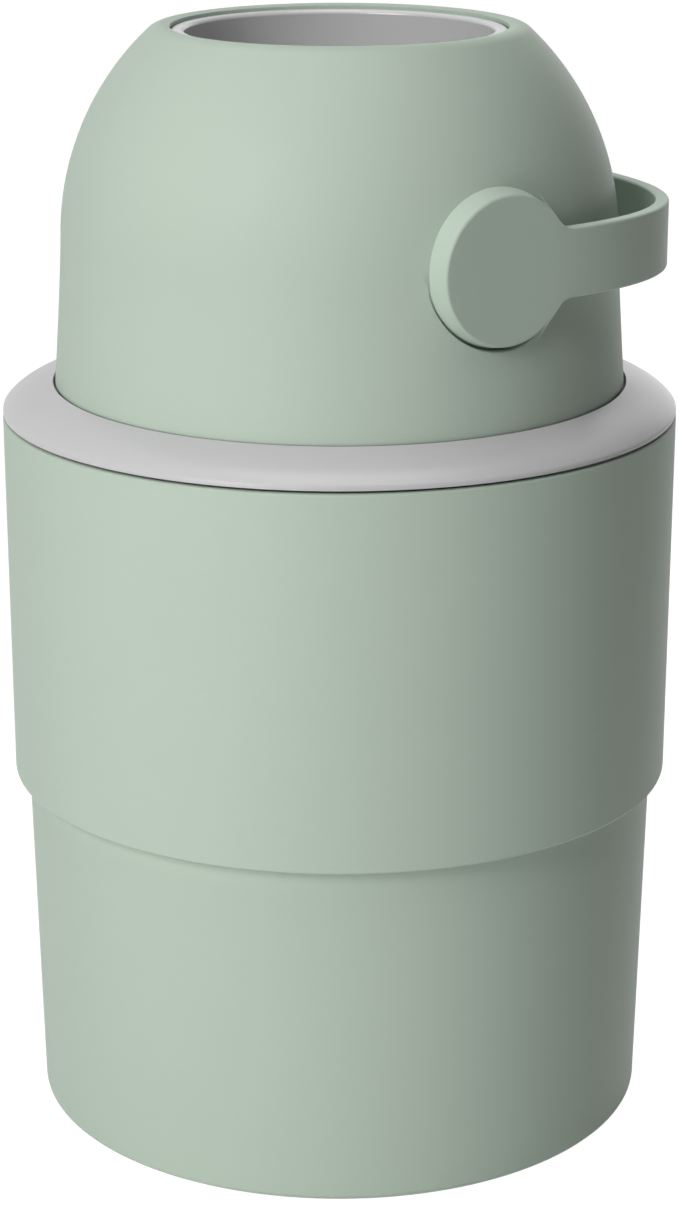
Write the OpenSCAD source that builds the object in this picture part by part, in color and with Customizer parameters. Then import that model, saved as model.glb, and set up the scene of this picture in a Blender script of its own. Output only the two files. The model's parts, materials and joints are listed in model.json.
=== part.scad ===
// Flip-drum nappy bin.
// A nappy is dropped into the open well at the top. The handle is swung over
// the dome by half a turn, which turns the drum upside down inside the dome,
// and a loose piston slides down the well and pushes the nappy into the bin.
// Frame: +Z up, origin on the floor under the middle of the bin. The handle
// turns about an axis along Y, and at rest its bow points along +X.

/* [Body] */
// Height of the upper sleeve's rim above the floor
body_h = 270.8; // [240:0.1:340]
// Height of the step, where the upper sleeve ends
step_h = 132.5; // [100:0.1:150]
// How far the bucket is set in under the step
step_in = 5.2; // [4.6:0.1:8]
// Radius that the bucket loses from the step to the floor
bucket_draft = 3; // [1:0.1:6]
// Radius that the upper sleeve loses from its rim to the step
sleeve_draft = 0.6; // [0.2:0.1:2]
// Wall of the bucket and the upper sleeve
body_wall = 2.6; // [2:0.1:3.4]
// Thickness of the bucket's floor
floor_t = 4; // [3:0.1:6]
// Height of the bucket's floor above the ground
floor_z = 4; // [3:0.1:8]
// Depth by which the bucket reaches up inside the sleeve
overlap_h = 20.5; // [16:0.5:40]

/* [Feet] */
// Number of rubber feet
foot_count = 4; // [3:1:6]
// Radius of one rubber foot
foot_r = 10; // [7:0.5:14]
// Gap left under the bucket's edge by the feet
foot_gap = 0.8; // [0.5:0.1:2]

/* [Head] */
// Radius of the dome
dome_r = 102.5; // [94:0.1:125]
// Wall of the dome
dome_wall = 3; // [2.4:0.1:3.8]
// Radius that the dome's skirt gains down to its foot
skirt_flare = 3.3; // [2:0.1:5]
// Height of the dome's skirt, from its foot to the dome's centre
skirt_h = 52.7; // [48:0.1:62]
// Width of the light ring outside the dome's foot
flange_w = 19.7; // [19:0.1:26]
// Height of the dome's foot above the sleeve's rim
flange_rise = 11.8; // [10:0.1:16]
// Fall of the light ring's slope from the dome's foot to its bead
flange_fall = 6.5; // [5:0.1:8]
// Radius of the bead round the light ring
bead_r = 4; // [3:0.1:4.4]
// Wall of the light ring
ring_wall = 2.6; // [2:0.1:3]
// Number of screws that hold the dome, and of those that hold the seal plate
screw_count = 6; // [4:1:8]

/* [Drum] */
// Radius of the well
well_r = 56; // [46:0.1:62]
// Wall of the well's tube
tube_wall = 2.4; // [2:0.1:3]
// Width of the rim round the well
rim_w = 4.8; // [4.4:0.1:6]
// Thickness of the rim
rim_t = 3; // [2.5:0.1:4]
// Height of the pivot above the dome's centre
pivot_rise = 4.2; // [2:0.1:6]
// Least gap between the turning drum and the dome
drum_gap = 1.5; // [1:0.1:3]
// How far the dome's crown stands above the well's rim
crown_rise = 1.6; // [0.6:0.1:3]
// Gap between the drum's rim and the dome's mouth
mouth_gap = 0.7; // [0.5:0.1:1.2]
// Wall of the drum's round shell
shell_wall = 2.6; // [2:0.1:3]

/* [Handle] */
// How much further the bow reaches from the pivot than the faces of its discs
bow_stretch = 3.5; // [2:0.5:28]
// Height of the strap
strap_h = 24.6; // [18:0.1:28]
// Thickness of the strap
strap_t = 5; // [3.5:0.1:5.4]
// Squareness of the bow seen from above, 2 for an ellipse
bow_power = 2.8; // [2:0.1:4]
// Radius of the disc at its face
disc_r = 26.3; // [23:0.1:28]
// Extra radius of the disc at its back
disc_draft = 1.5; // [0.5:0.1:2.5]
// Thickness of the disc
disc_t = 7.7; // [6.5:0.1:9]
// How far the disc's face stands outside the dome
disc_proud = 4; // [3.5:0.1:6]
// Radius of the hollow curve where the strap leaves the disc
neck_r = 9; // [5:0.5:14]
// Radius of the handle's axle
axle_r = 12; // [10:0.1:13]
// Width of the square end of the axle
drive_w = 13; // [11:0.1:14]

/* [Piston] */
// Height of the piston
piston_h = 26; // [22:0.5:32]
// Gap between the piston and the well
piston_gap = 1.4; // [0.8:0.1:2]
// Width of the guide slots in the well's tube
slot_w = 8; // [6:0.5:12]
// Thickness of the steel weight in the piston
weight_t = 6; // [4:0.5:10]

/* [Fits] */
// Running gap between the axle and its bush, on the radius
run_gap = 0.05; // [0.02:0.01:0.08]
// Side gap between pieces that move past each other
side_gap = 0.3; // [0.3:0.05:0.5]
// Gap between a soft seal and the drum
seal_gap = 0.3; // [0.2:0.05:0.5]

/* [Hidden] */
$fn = 96;

sage = [0.70, 0.77, 0.71];
light_grey = [0.82, 0.82, 0.83];
mid_grey = [0.62, 0.62, 0.63];
soft_grey = [0.45, 0.45, 0.46];
black_rubber = [0.12, 0.12, 0.12];
steel = [0.75, 0.76, 0.78];

eps = 0.01;          // overshoot of a cut past the face it opens
far = 400;           // longer than the whole bin

// Body, from the dome outwards and down
dome_foot_r = dome_r + skirt_flare;
body_r = dome_foot_r + flange_w;
step_r = body_r - sleeve_draft - step_in;
bucket_foot_r = step_r - bucket_draft;
bucket_slope = bucket_draft / step_h;
bucket_top = step_h + overlap_h;
body_in_r = body_r - body_wall;
sleeve_slope = sleeve_draft / (body_h - step_h);
foot_seat_gap = 0.2;
foot_stem_r = 3;
foot_stem_h = 2.5;
foot_ring_r = bucket_foot_r - foot_r - 6.5;

// Snap joint of the bucket and the sleeve
snap_t = 3;          // flange round the bucket's top
snap_gap = 0.2;
snap_r = sleeve_r_at(bucket_top) - body_wall - snap_gap;
gasket_t = 1.5;
ledge_w = 3.4;       // ledge inside the sleeve, over the gasket
ledge_t = 2.5;
lip_h = 2.5;         // inward lip at the sleeve's lower edge

// Bag ring and the shelf it rests on
shelf_t = 3;
shelf_w = 4;
bag_ring_t = 2.5;
bag_ring_w = 9.2;
bag_lip_h = 8.5;
bag_ring_top = body_h - 3.8;
shelf_top = bag_ring_top - bag_ring_t;
bag_ring_r = body_in_r - 0.6;
bag_ring_in_r = bag_ring_r - bag_ring_w;
film_gap = 1.5;      // room for the bag between its ring and the head

// Head ring
foot_z = body_h + flange_rise;
seat_t = 3;          // web that carries the dome
seat_depth = 4.3;    // depth of the dome's seat under the ring's slope
seat_z = foot_z - seat_depth;
web_z = seat_z - seat_t;
web_in_r = dome_foot_r - 14.8;
head_skirt_r = bag_ring_in_r - film_gap;
head_skirt_t = 2.5;
head_skirt_h = 24;
ring_r = body_r - 0.1;
ring_z = body_h + 0.4;
gasket_w = 5.5;
gasket_r = (head_skirt_r + bag_ring_r) / 2;
gasket_top = body_h - 0.8;

// Dome
centre_z = foot_z + skirt_h;
dome_in_r = dome_r - dome_wall;
boss_r = 4.5;
boss_h = 17.5;
boss_ring_r = dome_foot_r - dome_wall - boss_r - 0.2;

// Drum
pivot_z = centre_z + pivot_rise;
ball_r = dome_in_r - pivot_rise - drum_gap;
rim_r = well_r + rim_w;
drum_half = sqrt(ball_r * ball_r - rim_r * rim_r);
top_z = pivot_z + drum_half;
shell_half = drum_half - rim_t;
shell_cap_t = 2.6;
tube_r = well_r + tube_wall;
mouth_r = rim_r + mouth_gap;
mouth_depth = 5.5;
crown_z = top_z + crown_rise;
crown_w = 1.2;       // flat left between the dome's outside and the dish in its top
seal_h = 6;
throat_r = rim_r + 1.7;
throat_drop = 3.6;
plate_t = 2.5;
throat_z = pivot_z - drum_half - throat_drop;
throat_w = 7;

// Pivot, by distance from the middle plane
disc_face_y = dome_r + disc_proud;
disc_back_y = disc_face_y - disc_t;
recess_y = disc_back_y - side_gap;
bow_reach = disc_face_y + bow_stretch;   // from the pivot to the bow's outer face
recess_r = disc_r + disc_draft + 0.7;
pad_t = 6;
pad_y = recess_y - pad_t;
pad_r = recess_r + 2.8;
bush_flange_t = 1.6;
bush_wall = 2.5;
bush_flange_r = axle_r + 6;
flat_y = pad_y - bush_flange_t - side_gap;
socket_y = flat_y - 14;
socket_r = axle_r + 3;
drive_gap = 0.1;
drive_short = 0.4;   // square end stops short, so that the washer clamps the drum
washer_t = 1.2;
washer_r = drive_w * 0.5 * sqrt(2) + 1.3;
peg_r = 2.5;
peg_ring_r = axle_r + 9;
peg_h = 1.5;
flip_angle = 180;
neck_x = sqrt(pow(disc_r + neck_r, 2) - pow(strap_h / 2 + neck_r, 2));  // middle of the hollow curves

// Piston, about the pivot, lying at the bottom of the drum
piston_r = well_r - piston_gap;
piston_low = -drum_half + 5.4;
piston_high = piston_low + piston_h;
piston_mid = (piston_low + piston_high) / 2;
piston_wall = 2.4;
wiper_t = 2;
wiper_in_r = piston_r - 7;
lug_h = 10;
slot_half = -piston_mid + lug_h / 2 + 0.25;
piston_screw_count = 3;
piston_screw_ring_r = piston_r - 12;
weight_r = piston_screw_ring_r - 5.5;
piston_sink = 5;     // depth of the screw heads' holes
piston_pilot = 6;

// Screws: shank radius, head radius, head height
screw_shank_r = 1.75;
screw_head_r = 3.4;
screw_head_h = 2.2;
dome_screw_l = 12;
plate_screw_l = 5;
drive_shank_r = 2.25;
drive_head_r = 4.4;
drive_head_h = 3;
drive_screw_l = 18;
pilot_y = socket_y + drive_screw_l + drive_shank_r;

function bucket_r_at(z) = bucket_foot_r + bucket_slope * z;
function sleeve_r_at(z) = body_r - sleeve_slope * (body_h - z);
function arc(c, r, a0, a1, n) =
    [for (i = [0:n]) let (a = a0 + (a1 - a0) * i / n) [c[0] + r * cos(a), c[1] + r * sin(a)]];

// Ring of rectangular section between two radii and two heights
module hoop(r_in, r_out, z0, z1) {
    difference() {
        translate([0, 0, z0]) cylinder(r = r_out, h = z1 - z0);
        translate([0, 0, z0 - eps]) cylinder(r = r_in, h = z1 - z0 + 2 * eps);
    }
}

// Cylinder along Y, from y0 to y1
module rod_y(r, y0, y1) {
    translate([0, y1, 0]) rotate([90, 0, 0]) cylinder(r = r, h = y1 - y0);
}

// Cylinder along Y on side s of the middle plane, between two distances from it
module side_rod(s, r, near, away) {
    rod_y(r, min(s * near, s * away), max(s * near, s * away));
}

// Copies n children evenly round Z at a radius
module round_z(n, r, start = 0) {
    for (i = [0:n - 1]) rotate([0, 0, start + i * 360 / n]) translate([r, 0, 0]) children();
}

// A screw whose head hangs below z = 0 and whose shank points up
module screw_up(shank_r, head_r, head_h, length) {
    translate([0, 0, -head_h]) cylinder(r = head_r, h = head_h);
    cylinder(r = shank_r, h = length);
    translate([0, 0, length]) cylinder(r1 = shank_r, r2 = shank_r * 0.4, h = shank_r);
}

// The screw with the slot-cross cut in its head
module cross_screw_up(shank_r, head_r, head_h, length) {
    cut_w = head_r * 0.28;
    difference() {
        screw_up(shank_r, head_r, head_h, length);
        for (a = [0, 90]) rotate([0, 0, a])
            translate([-head_r * 0.6, -cut_w / 2, -head_h - eps])
                cube([head_r * 1.2, cut_w, head_h * 0.55]);
    }
}

// ---------- body ----------

module bucket() {
    low = foot_gap;
    edge = 2.2;      // rounded lower edge
    foot_rim_w = 5;  // rim that the bucket stands on, without its feet
    fillet = 5;      // slope between the floor and the wall
    hub_r = 18;
    rib_t = 1.8;
    rib_low = low + 1;
    color(sage) difference() {
        union() {
            rotate_extrude() polygon(concat(
                [[0, floor_z], [bucket_foot_r - foot_rim_w, floor_z],
                 [bucket_foot_r - foot_rim_w + 0.6, low]],
                arc([bucket_r_at(low + edge) - edge, low + edge], edge, -90, 0, 5),
                [[bucket_r_at(bucket_top - snap_t), bucket_top - snap_t],
                 [snap_r, bucket_top - snap_t],
                 [snap_r, bucket_top],
                 [bucket_r_at(bucket_top) - body_wall, bucket_top],
                 [bucket_r_at(floor_z + fillet) - body_wall, floor_z + floor_t + fillet],
                 [bucket_r_at(floor_z) - body_wall - fillet, floor_z + floor_t],
                 [0, floor_z + floor_t]]));
            // stiffening ribs under the floor
            round_z(2 * foot_count, hub_r)
                translate([0, -rib_t / 2, rib_low])
                    cube([bucket_foot_r - 4 - hub_r, rib_t, floor_z - rib_low + eps]);
            hoop(hub_r, hub_r + 2, rib_low, floor_z + eps);
        }
        // seats of the feet and the holes for their stems
        round_z(foot_count, foot_ring_r, 45) {
            translate([0, 0, -eps]) cylinder(r = foot_r + foot_seat_gap, h = floor_z + eps);
            translate([0, 0, floor_z - eps]) cylinder(r = foot_stem_r, h = foot_stem_h + eps);
        }
    }
}

module rubber_feet() {
    bevel = 0.8;
    color(black_rubber) round_z(foot_count, foot_ring_r, 45) {
        cylinder(r1 = foot_r - bevel, r2 = foot_r, h = bevel);
        translate([0, 0, bevel]) cylinder(r = foot_r, h = floor_z - bevel);
        translate([0, 0, floor_z]) cylinder(r = foot_stem_r, h = foot_stem_h);
    }
}

module sleeve_gasket() {
    color(soft_grey) hoop(snap_r - ledge_w, snap_r, bucket_top, bucket_top + gasket_t);
}

module upper_sleeve() {
    step_out_r = sleeve_r_at(step_h);
    in_low = step_out_r - body_wall;
    lip_in_r = step_r + side_gap + 0.1;
    bead_z = bucket_top - snap_t - snap_gap;
    bead_h = 4;
    ledge_z = bucket_top + gasket_t;
    ledge_r = sleeve_r_at(ledge_z) - body_wall;
    edge = 1.1;      // rounded rim and lower edge
    bite = 1;        // overlap of a rib with the wall
    color(sage) union() {
        // wall with its rounded rim and lower edge
        rotate_extrude() polygon(concat(
            arc([step_out_r - edge, step_h + edge], edge, -90, 0, 4),
            arc([body_r - edge, body_h - edge], edge, 0, 90, 4),
            [[body_in_r, body_h], [in_low, step_h + lip_h], [lip_in_r, step_h + lip_h],
             [lip_in_r, step_h]]));
        // snap bead under the bucket's flange
        rotate_extrude() polygon([[in_low + bite / 2, bead_z],
                                  [bucket_r_at(bead_z) + 3 * snap_gap, bead_z],
                                  [in_low + bite / 2, bead_z - bead_h]]);
        // ledge that rests on the gasket
        hoop(ledge_r - ledge_w, ledge_r + bite, ledge_z, ledge_z + ledge_t);
        // shelf of the bag ring
        rotate_extrude() polygon([[body_in_r - shelf_w, shelf_top], [body_in_r + bite, shelf_top],
                                  [body_in_r + bite, shelf_top - shelf_t - shelf_w],
                                  [body_in_r - shelf_w, shelf_top - shelf_t]]);
    }
}

module bag_ring() {
    notch_w = 30;
    lip_t = 2;
    lip_low = shelf_top - bag_lip_h;
    color(light_grey) difference() {
        union() {
            hoop(bag_ring_in_r, bag_ring_r, shelf_top, bag_ring_top);
            hoop(bag_ring_in_r, bag_ring_in_r + lip_t, lip_low, shelf_top + lip_t);
        }
        // finger notches for lifting the ring out
        for (s = [-1, 1]) translate([s * bag_ring_in_r - lip_t, -notch_w / 2, lip_low - eps])
            cube([2 * lip_t, notch_w, bag_lip_h - 1]);
    }
}

// ---------- head ----------

module head_ring() {
    slope_r = ring_r - bead_r - 0.4;
    slope_z = foot_z - flange_fall;
    inner_r = dome_foot_r + side_gap;
    bead_c = [ring_r - bead_r, slope_z - bead_r];
    rib_half = 1.2;
    color(light_grey) difference() {
        union() {
            // visible slope and bead
            rotate_extrude() polygon(concat(
                [[inner_r, web_z], [inner_r, foot_z - 0.5], [inner_r + 0.5, foot_z]],
                [[slope_r, slope_z]],
                arc(bead_c, bead_r, 90, 0, 6),
                [[ring_r, ring_z], [ring_r - ring_wall, ring_z],
                 [ring_r - ring_wall, bead_c[1]],
                 [slope_r - 0.8, slope_z - ring_wall],
                 [head_skirt_r, web_z + 0.6], [head_skirt_r, web_z]]));
            // web that carries the dome
            hoop(web_in_r, inner_r + 1, web_z, seat_z);
            // skirt that locates the head in the body
            hoop(head_skirt_r - head_skirt_t, head_skirt_r, web_z - head_skirt_h, web_z + 1);
            // rib that presses on the gasket
            hoop(gasket_r - rib_half, gasket_r + rib_half, gasket_top, slope_z - ring_wall + rib_half);
        }
        dome_screw_holes();
        plate_screw_holes();
    }
}

module dome_screw_holes() {
    round_z(screw_count, boss_ring_r, 30)
        translate([0, 0, web_z - eps]) cylinder(r = screw_shank_r, h = seat_t + 2 * eps);
}

module plate_screw_holes() {
    round_z(screw_count, boss_ring_r, 0)
        translate([0, 0, web_z - eps]) cylinder(r = screw_shank_r, h = seat_t + 2 * eps);
}

module head_gasket() {
    color(soft_grey) hoop(gasket_r - gasket_w / 2, gasket_r + gasket_w / 2,
                          bag_ring_top + side_gap, gasket_top);
}

// Outer skin of the dome as a solid: sphere above, flared skirt below
module dome_solid(inset) {
    translate([0, 0, centre_z]) sphere(r = dome_r - inset);
    translate([0, 0, seat_z])
        cylinder(r1 = dome_foot_r + skirt_flare * (foot_z - seat_z) / skirt_h - inset,
                 r2 = dome_r - inset, h = centre_z - seat_z);
}

module dome() {
    color(sage) difference() {
        union() {
            intersection() {
                difference() {
                    dome_solid(0);
                    // room inside, up to the thick ring round the mouth
                    intersection() {
                        dome_solid(dome_wall);
                        cylinder(r = far, h = top_z - mouth_depth);
                    }
                }
                translate([0, 0, seat_z]) cylinder(r = dome_foot_r, h = crown_z - seat_z);
            }
            // pads that carry the bushes
            intersection() {
                dome_solid(0.5);
                translate([0, 0, pivot_z]) for (s = [-1, 1])
                    side_rod(s, pad_r, pad_y, far);
            }
            // screw bosses
            round_z(screw_count, boss_ring_r, 30)
                translate([0, 0, seat_z]) cylinder(r = boss_r, h = boss_h);
        }
        // round hollow for the drum, and the mouth
        translate([0, 0, pivot_z]) sphere(r = ball_r + drum_gap / 3);
        translate([0, 0, pivot_z]) cylinder(r = mouth_r, h = far);
        crown_dish();
        translate([0, 0, pivot_z]) for (s = [-1, 1]) {
            // seat of the handle's disc, and the bush's bore
            side_rod(s, recess_r, recess_y, far);
            side_rod(s, axle_r + run_gap + bush_wall, pad_y - 20, far);
            // half-round groove whose ends stop the handle
            stop_groove(s);
        }
        round_z(screw_count, boss_ring_r, 30)
            translate([0, 0, seat_z - eps]) cylinder(r = screw_shank_r, h = dome_screw_l);
    }
}

// Shallow dish in the dome's top, from its crown down to the mouth
module crown_dish() {
    crown_in_r = sqrt(dome_r * dome_r - (crown_z - centre_z) * (crown_z - centre_z)) - crown_w;
    rotate_extrude() polygon([[0, top_z], [mouth_r, top_z], [crown_in_r, crown_z],
                              [crown_in_r, crown_z + 1], [0, crown_z + 1]]);
}

// The groove's ends leave the peg its swing and no more
module stop_groove(s) {
    half_w = peg_r + side_gap;
    slack = asin(half_w / peg_ring_r);
    depth = peg_h + side_gap;
    rotate([90, 0, 0]) rotate([0, 0, 180 - slack])
        translate([0, 0, s > 0 ? -recess_y - eps : recess_y - depth])
            rotate_extrude(angle = flip_angle + 2 * slack)
                translate([peg_ring_r - half_w, 0]) square([2 * half_w, depth + eps]);
}

module dome_screws() {
    color(steel) round_z(screw_count, boss_ring_r, 30)
        translate([0, 0, web_z]) cross_screw_up(screw_shank_r, screw_head_r, screw_head_h, dome_screw_l);
}

module mouth_seal() {
    z1 = top_z - mouth_depth;
    color(soft_grey) intersection() {
        difference() {
            translate([0, 0, centre_z]) sphere(r = dome_in_r);
            translate([0, 0, pivot_z]) sphere(r = ball_r + seal_gap);
        }
        translate([0, 0, z1 - seal_h]) cylinder(r = far, h = seal_h);
    }
}

module seal_plate() {
    out_r = head_skirt_r - head_skirt_t - 0.4;
    flat_r = web_in_r + 1;
    color(mid_grey) difference() {
        rotate_extrude() polygon([
            [throat_r, throat_z - plate_t], [throat_r + throat_w + 2, throat_z - plate_t],
            [flat_r + 1, web_z - plate_t], [out_r, web_z - plate_t], [out_r, web_z],
            [flat_r, web_z], [throat_r + throat_w, throat_z], [throat_r, throat_z]]);
        round_z(screw_count, boss_ring_r, 30)
            translate([0, 0, web_z - plate_t - eps])
                cylinder(r = screw_head_r + 0.6, h = plate_t + 2 * eps);
        round_z(screw_count, boss_ring_r, 0)
            translate([0, 0, web_z - plate_t - eps])
                cylinder(r = screw_shank_r, h = plate_t + 2 * eps);
    }
}

module seal_plate_screws() {
    color(steel) round_z(screw_count, boss_ring_r, 0)
        translate([0, 0, web_z - plate_t])
            cross_screw_up(screw_shank_r, screw_head_r, screw_head_h, plate_screw_l);
}

module throat_seal() {
    color(soft_grey) difference() {
        hoop(throat_r + 0.4, throat_r + 6, throat_z, throat_z + throat_drop + 5);
        translate([0, 0, pivot_z]) sphere(r = ball_r + seal_gap);
    }
}

module bush(s) {
    color(mid_grey) translate([0, 0, pivot_z]) difference() {
        union() {
            side_rod(s, axle_r + run_gap + bush_wall, pad_y, recess_y);
            side_rod(s, bush_flange_r, pad_y - bush_flange_t, pad_y);
        }
        rod_y(axle_r + run_gap, -far, far);
    }
}

module bush_front() { bush(-1); }
module bush_back() { bush(1); }

// ---------- drum ----------

// Outer line of the bow seen from above, from the back arm to the front arm
function bow_line(reach, half, straight, n) = concat(
    [[0, half]],
    [for (i = [0:n]) let (a = 90 - 180 * i / n)
        [straight + (reach - straight) * pow(abs(cos(a)), 2 / bow_power),
         half * sign(sin(a)) * pow(abs(sin(a)), 2 / bow_power)]],
    [[0, -half]]);

module bow_plan() {
    straight = 6;
    difference() {
        polygon(bow_line(bow_reach, disc_face_y, straight, 56));
        polygon(concat(bow_line(bow_reach - strap_t, disc_face_y - strap_t, straight, 56),
                       [[-1, -disc_face_y + strap_t], [-1, disc_face_y - strap_t]]));
    }
}

// Side view of one arm: the strap, widened by hollow curves where it meets the disc
module arm_side() {
    half = strap_h / 2;
    difference() {
        translate([0, -half - neck_r]) square([bow_reach + 1, strap_h + 2 * neck_r]);
        for (s = [-1, 1]) {
            translate([neck_x, s * (half + neck_r)]) circle(r = neck_r);
            translate([neck_x, s > 0 ? half : -half - 2 * neck_r]) square([bow_reach + 2, 2 * neck_r]);
        }
    }
}

module handle() {
    color(sage) translate([0, 0, pivot_z]) difference() {
        union() {
            intersection() {
                translate([0, 0, -disc_r]) linear_extrude(height = 2 * disc_r) bow_plan();
                translate([0, far / 2, 0]) rotate([90, 0, 0])
                    linear_extrude(height = far) intersection() {
                        arm_side();
                        union() {
                            circle(r = disc_r);
                            neck_zone();
                        }
                    }
            }
            for (s = [-1, 1]) handle_disc(s);
        }
        // pilot holes for the drive screws
        rod_y(drive_shank_r, -pilot_y, pilot_y);
    }
}

// Everything of the arm from the middle of its hollow curves outwards
module neck_zone() {
    half = strap_h / 2;
    touch_x = neck_x * disc_r / (disc_r + neck_r);
    touch_z = (half + neck_r) * disc_r / (disc_r + neck_r);
    polygon([[0, -touch_z], [touch_x, -touch_z], [neck_x, -half], [bow_reach + 1, -half],
             [bow_reach + 1, half], [neck_x, half], [touch_x, touch_z], [0, touch_z]]);
}

module handle_disc(s) {
    edge = 0.9;
    rotate([90 * -s, 0, 0]) {
        // disc with its drafted side and rounded edge
        rotate_extrude() polygon(concat(
            [[0, disc_back_y], [disc_r + disc_draft, disc_back_y]],
            arc([disc_r - edge + 0.2, disc_face_y - edge], edge, 10, 90, 4),
            [[0, disc_face_y]]));
        translate([0, 0, flat_y]) cylinder(r = axle_r, h = disc_back_y - flat_y + eps);
        translate([-drive_w / 2, -drive_w / 2, socket_y + drive_short])
            cube([drive_w, drive_w, flat_y - socket_y]);
    }
    // peg that runs in the stop groove
    translate([-peg_ring_r, 0, 0])
        side_rod(s, peg_r, disc_back_y - peg_h, disc_back_y);
}

module drive_screws() {
    color(steel) translate([0, 0, pivot_z]) for (s = [-1, 1])
        rotate([90 * -s, 0, 0]) translate([0, 0, socket_y - washer_t])
            cross_screw_up(drive_shank_r, drive_head_r, drive_head_h, drive_screw_l);
}

module drive_washers() {
    color(steel) translate([0, 0, pivot_z]) for (s = [-1, 1])
        rotate([90 * -s, 0, 0]) hoop(drive_shank_r, washer_r, socket_y - washer_t, socket_y);
}

// One half of the round shell; the halves meet on the middle plane
module drum_shell(s) {
    flat_r = sqrt(ball_r * ball_r - flat_y * flat_y) + 3;
    drive_hole = drive_w + 2 * drive_gap;
    hole_depth = far - socket_y + 5;
    color(mid_grey) translate([0, 0, pivot_z]) difference() {
        intersection() {
            union() {
                difference() {
                    sphere(r = ball_r);
                    intersection() {
                        sphere(r = ball_r - shell_wall);
                        translate([-far, -far, -shell_half + shell_cap_t])
                            cube([2 * far, 2 * far, 2 * (shell_half - shell_cap_t)]);
                    }
                }
                // socket of the axle's square end
                intersection() {
                    side_rod(s, socket_r, socket_y, flat_y);
                    sphere(r = ball_r - eps);
                }
                // flat wall behind the bush
                intersection() {
                    sphere(r = ball_r - eps);
                    side_rod(s, flat_r, flat_y - shell_wall, flat_y);
                }
            }
            translate([-far, s > 0 ? 0 : -flat_y, -shell_half]) cube([2 * far, flat_y, 2 * shell_half]);
        }
        cylinder(r = tube_r, h = far, center = true);
        translate([-drive_hole / 2, s > 0 ? far - hole_depth : -far, -drive_hole / 2])
            cube([drive_hole, hole_depth, drive_hole]);
    }
}

module drum_shell_front() { drum_shell(-1); }
module drum_shell_back() { drum_shell(1); }

// Rim of the well: rounded on top, with its outer edge on the drum's sphere
module rim_profile() {
    edge_in = 1.6;
    edge_out = 1.4;
    rim_foot_r = sqrt(ball_r * ball_r - shell_half * shell_half) - 0.6;
    polygon(concat(
        [[well_r, shell_half]],
        arc([well_r + edge_in, drum_half - edge_in], edge_in, 180, 90, 5),
        arc([rim_r - edge_out, drum_half - edge_out], edge_out, 90, 45, 3),
        [[rim_foot_r, shell_half]]));
}

module drum_tube() {
    color(light_grey) translate([0, 0, pivot_z]) difference() {
        union() {
            rotate_extrude() rim_profile();
            hoop(well_r, tube_r, -shell_half, shell_half + 0.5);
        }
        // guide slots for the piston's lugs
        translate([-far / 2, -slot_w / 2, -slot_half]) cube([far, slot_w, 2 * slot_half]);
    }
}

module drum_end_ring() {
    color(light_grey) translate([0, 0, pivot_z]) mirror([0, 0, 1]) rotate_extrude() rim_profile();
}

// ---------- piston ----------

module piston_half(s) {
    edge = 2.5;
    dish = 2;        // hollow of the deck at its middle
    lug_root = 3;
    lug_l = tube_r - piston_r + lug_root - 0.6;
    color(mid_grey) translate([0, 0, pivot_z + piston_mid]) end_for_end(s) difference() {
        union() {
            rotate_extrude() polygon(concat(
                [[0, wiper_t / 2], [piston_r - 2, wiper_t / 2], [piston_r, wiper_t / 2 + 1.5]],
                arc([piston_r - edge, piston_h / 2 - edge], edge, 0, 90, 4),
                [[piston_r - 8, piston_h / 2 - 0.2], [0, piston_h / 2 - dish]]));
            // lugs that run in the guide slots
            for (a = [0, 180]) rotate([0, 0, a])
                translate([piston_r - lug_root, -slot_w / 2 + side_gap, wiper_t / 2])
                    cube([lug_l, slot_w - 2 * side_gap, (lug_h - wiper_t) / 2]);
        }
        // hollow for the weight
        translate([0, 0, wiper_t / 2 - eps])
            cylinder(r = weight_r + 0.4, h = (weight_t - wiper_t) / 2 + 0.2 + eps);
        // room between the weight and the deck, left by the core of the mould
        translate([0, 0, wiper_t / 2 - eps])
            cylinder(r = weight_r - 4, h = piston_h / 2 - piston_wall - dish - wiper_t / 2);
        round_z(piston_screw_count, piston_screw_ring_r, 60) {
            translate([0, 0, wiper_t / 2 - eps]) cylinder(r = screw_shank_r, h = piston_pilot);
            if (s < 0) {
                translate([0, 0, wiper_t / 2 - eps]) cylinder(r = screw_shank_r, h = piston_h);
                translate([0, 0, piston_h / 2 - piston_sink])
                    cylinder(r = screw_head_r + 0.3, h = piston_h);
            }
        }
    }
}

// Mirrors the lower half of the piston
module end_for_end(s) {
    if (s > 0) children();
    else mirror([0, 0, 1]) children();
}

module piston_upper() { piston_half(1); }
module piston_lower() { piston_half(-1); }

module piston_wiper() {
    color(soft_grey) translate([0, 0, pivot_z + piston_mid]) difference() {
        hoop(weight_r + 0.4, well_r - side_gap, -wiper_t / 2, wiper_t / 2);
        round_z(piston_screw_count, piston_screw_ring_r, 60)
            translate([0, 0, -wiper_t]) cylinder(r = screw_shank_r, h = 2 * wiper_t);
    }
}

module piston_weight() {
    color(steel) translate([0, 0, pivot_z + piston_mid - weight_t / 2])
        cylinder(r = weight_r, h = weight_t);
}

module piston_screws() {
    color(steel) translate([0, 0, pivot_z + piston_mid])
        round_z(piston_screw_count, piston_screw_ring_r, 60)
            translate([0, 0, -piston_h / 2 + piston_sink])
                cross_screw_up(screw_shank_r, screw_head_r, screw_head_h,
                               piston_h / 2 - piston_sink + piston_pilot / 2);
}

bucket();
upper_sleeve();
sleeve_gasket();
rubber_feet();
bag_ring();
head_ring();
head_gasket();
dome();
dome_screws();
mouth_seal();
seal_plate();
seal_plate_screws();
throat_seal();
bush_front();
bush_back();
handle();
drive_screws();
drive_washers();
drum_shell_front();
drum_shell_back();
drum_tube();
drum_end_ring();
piston_upper();
piston_lower();
piston_wiper();
piston_weight();
piston_screws();
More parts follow.
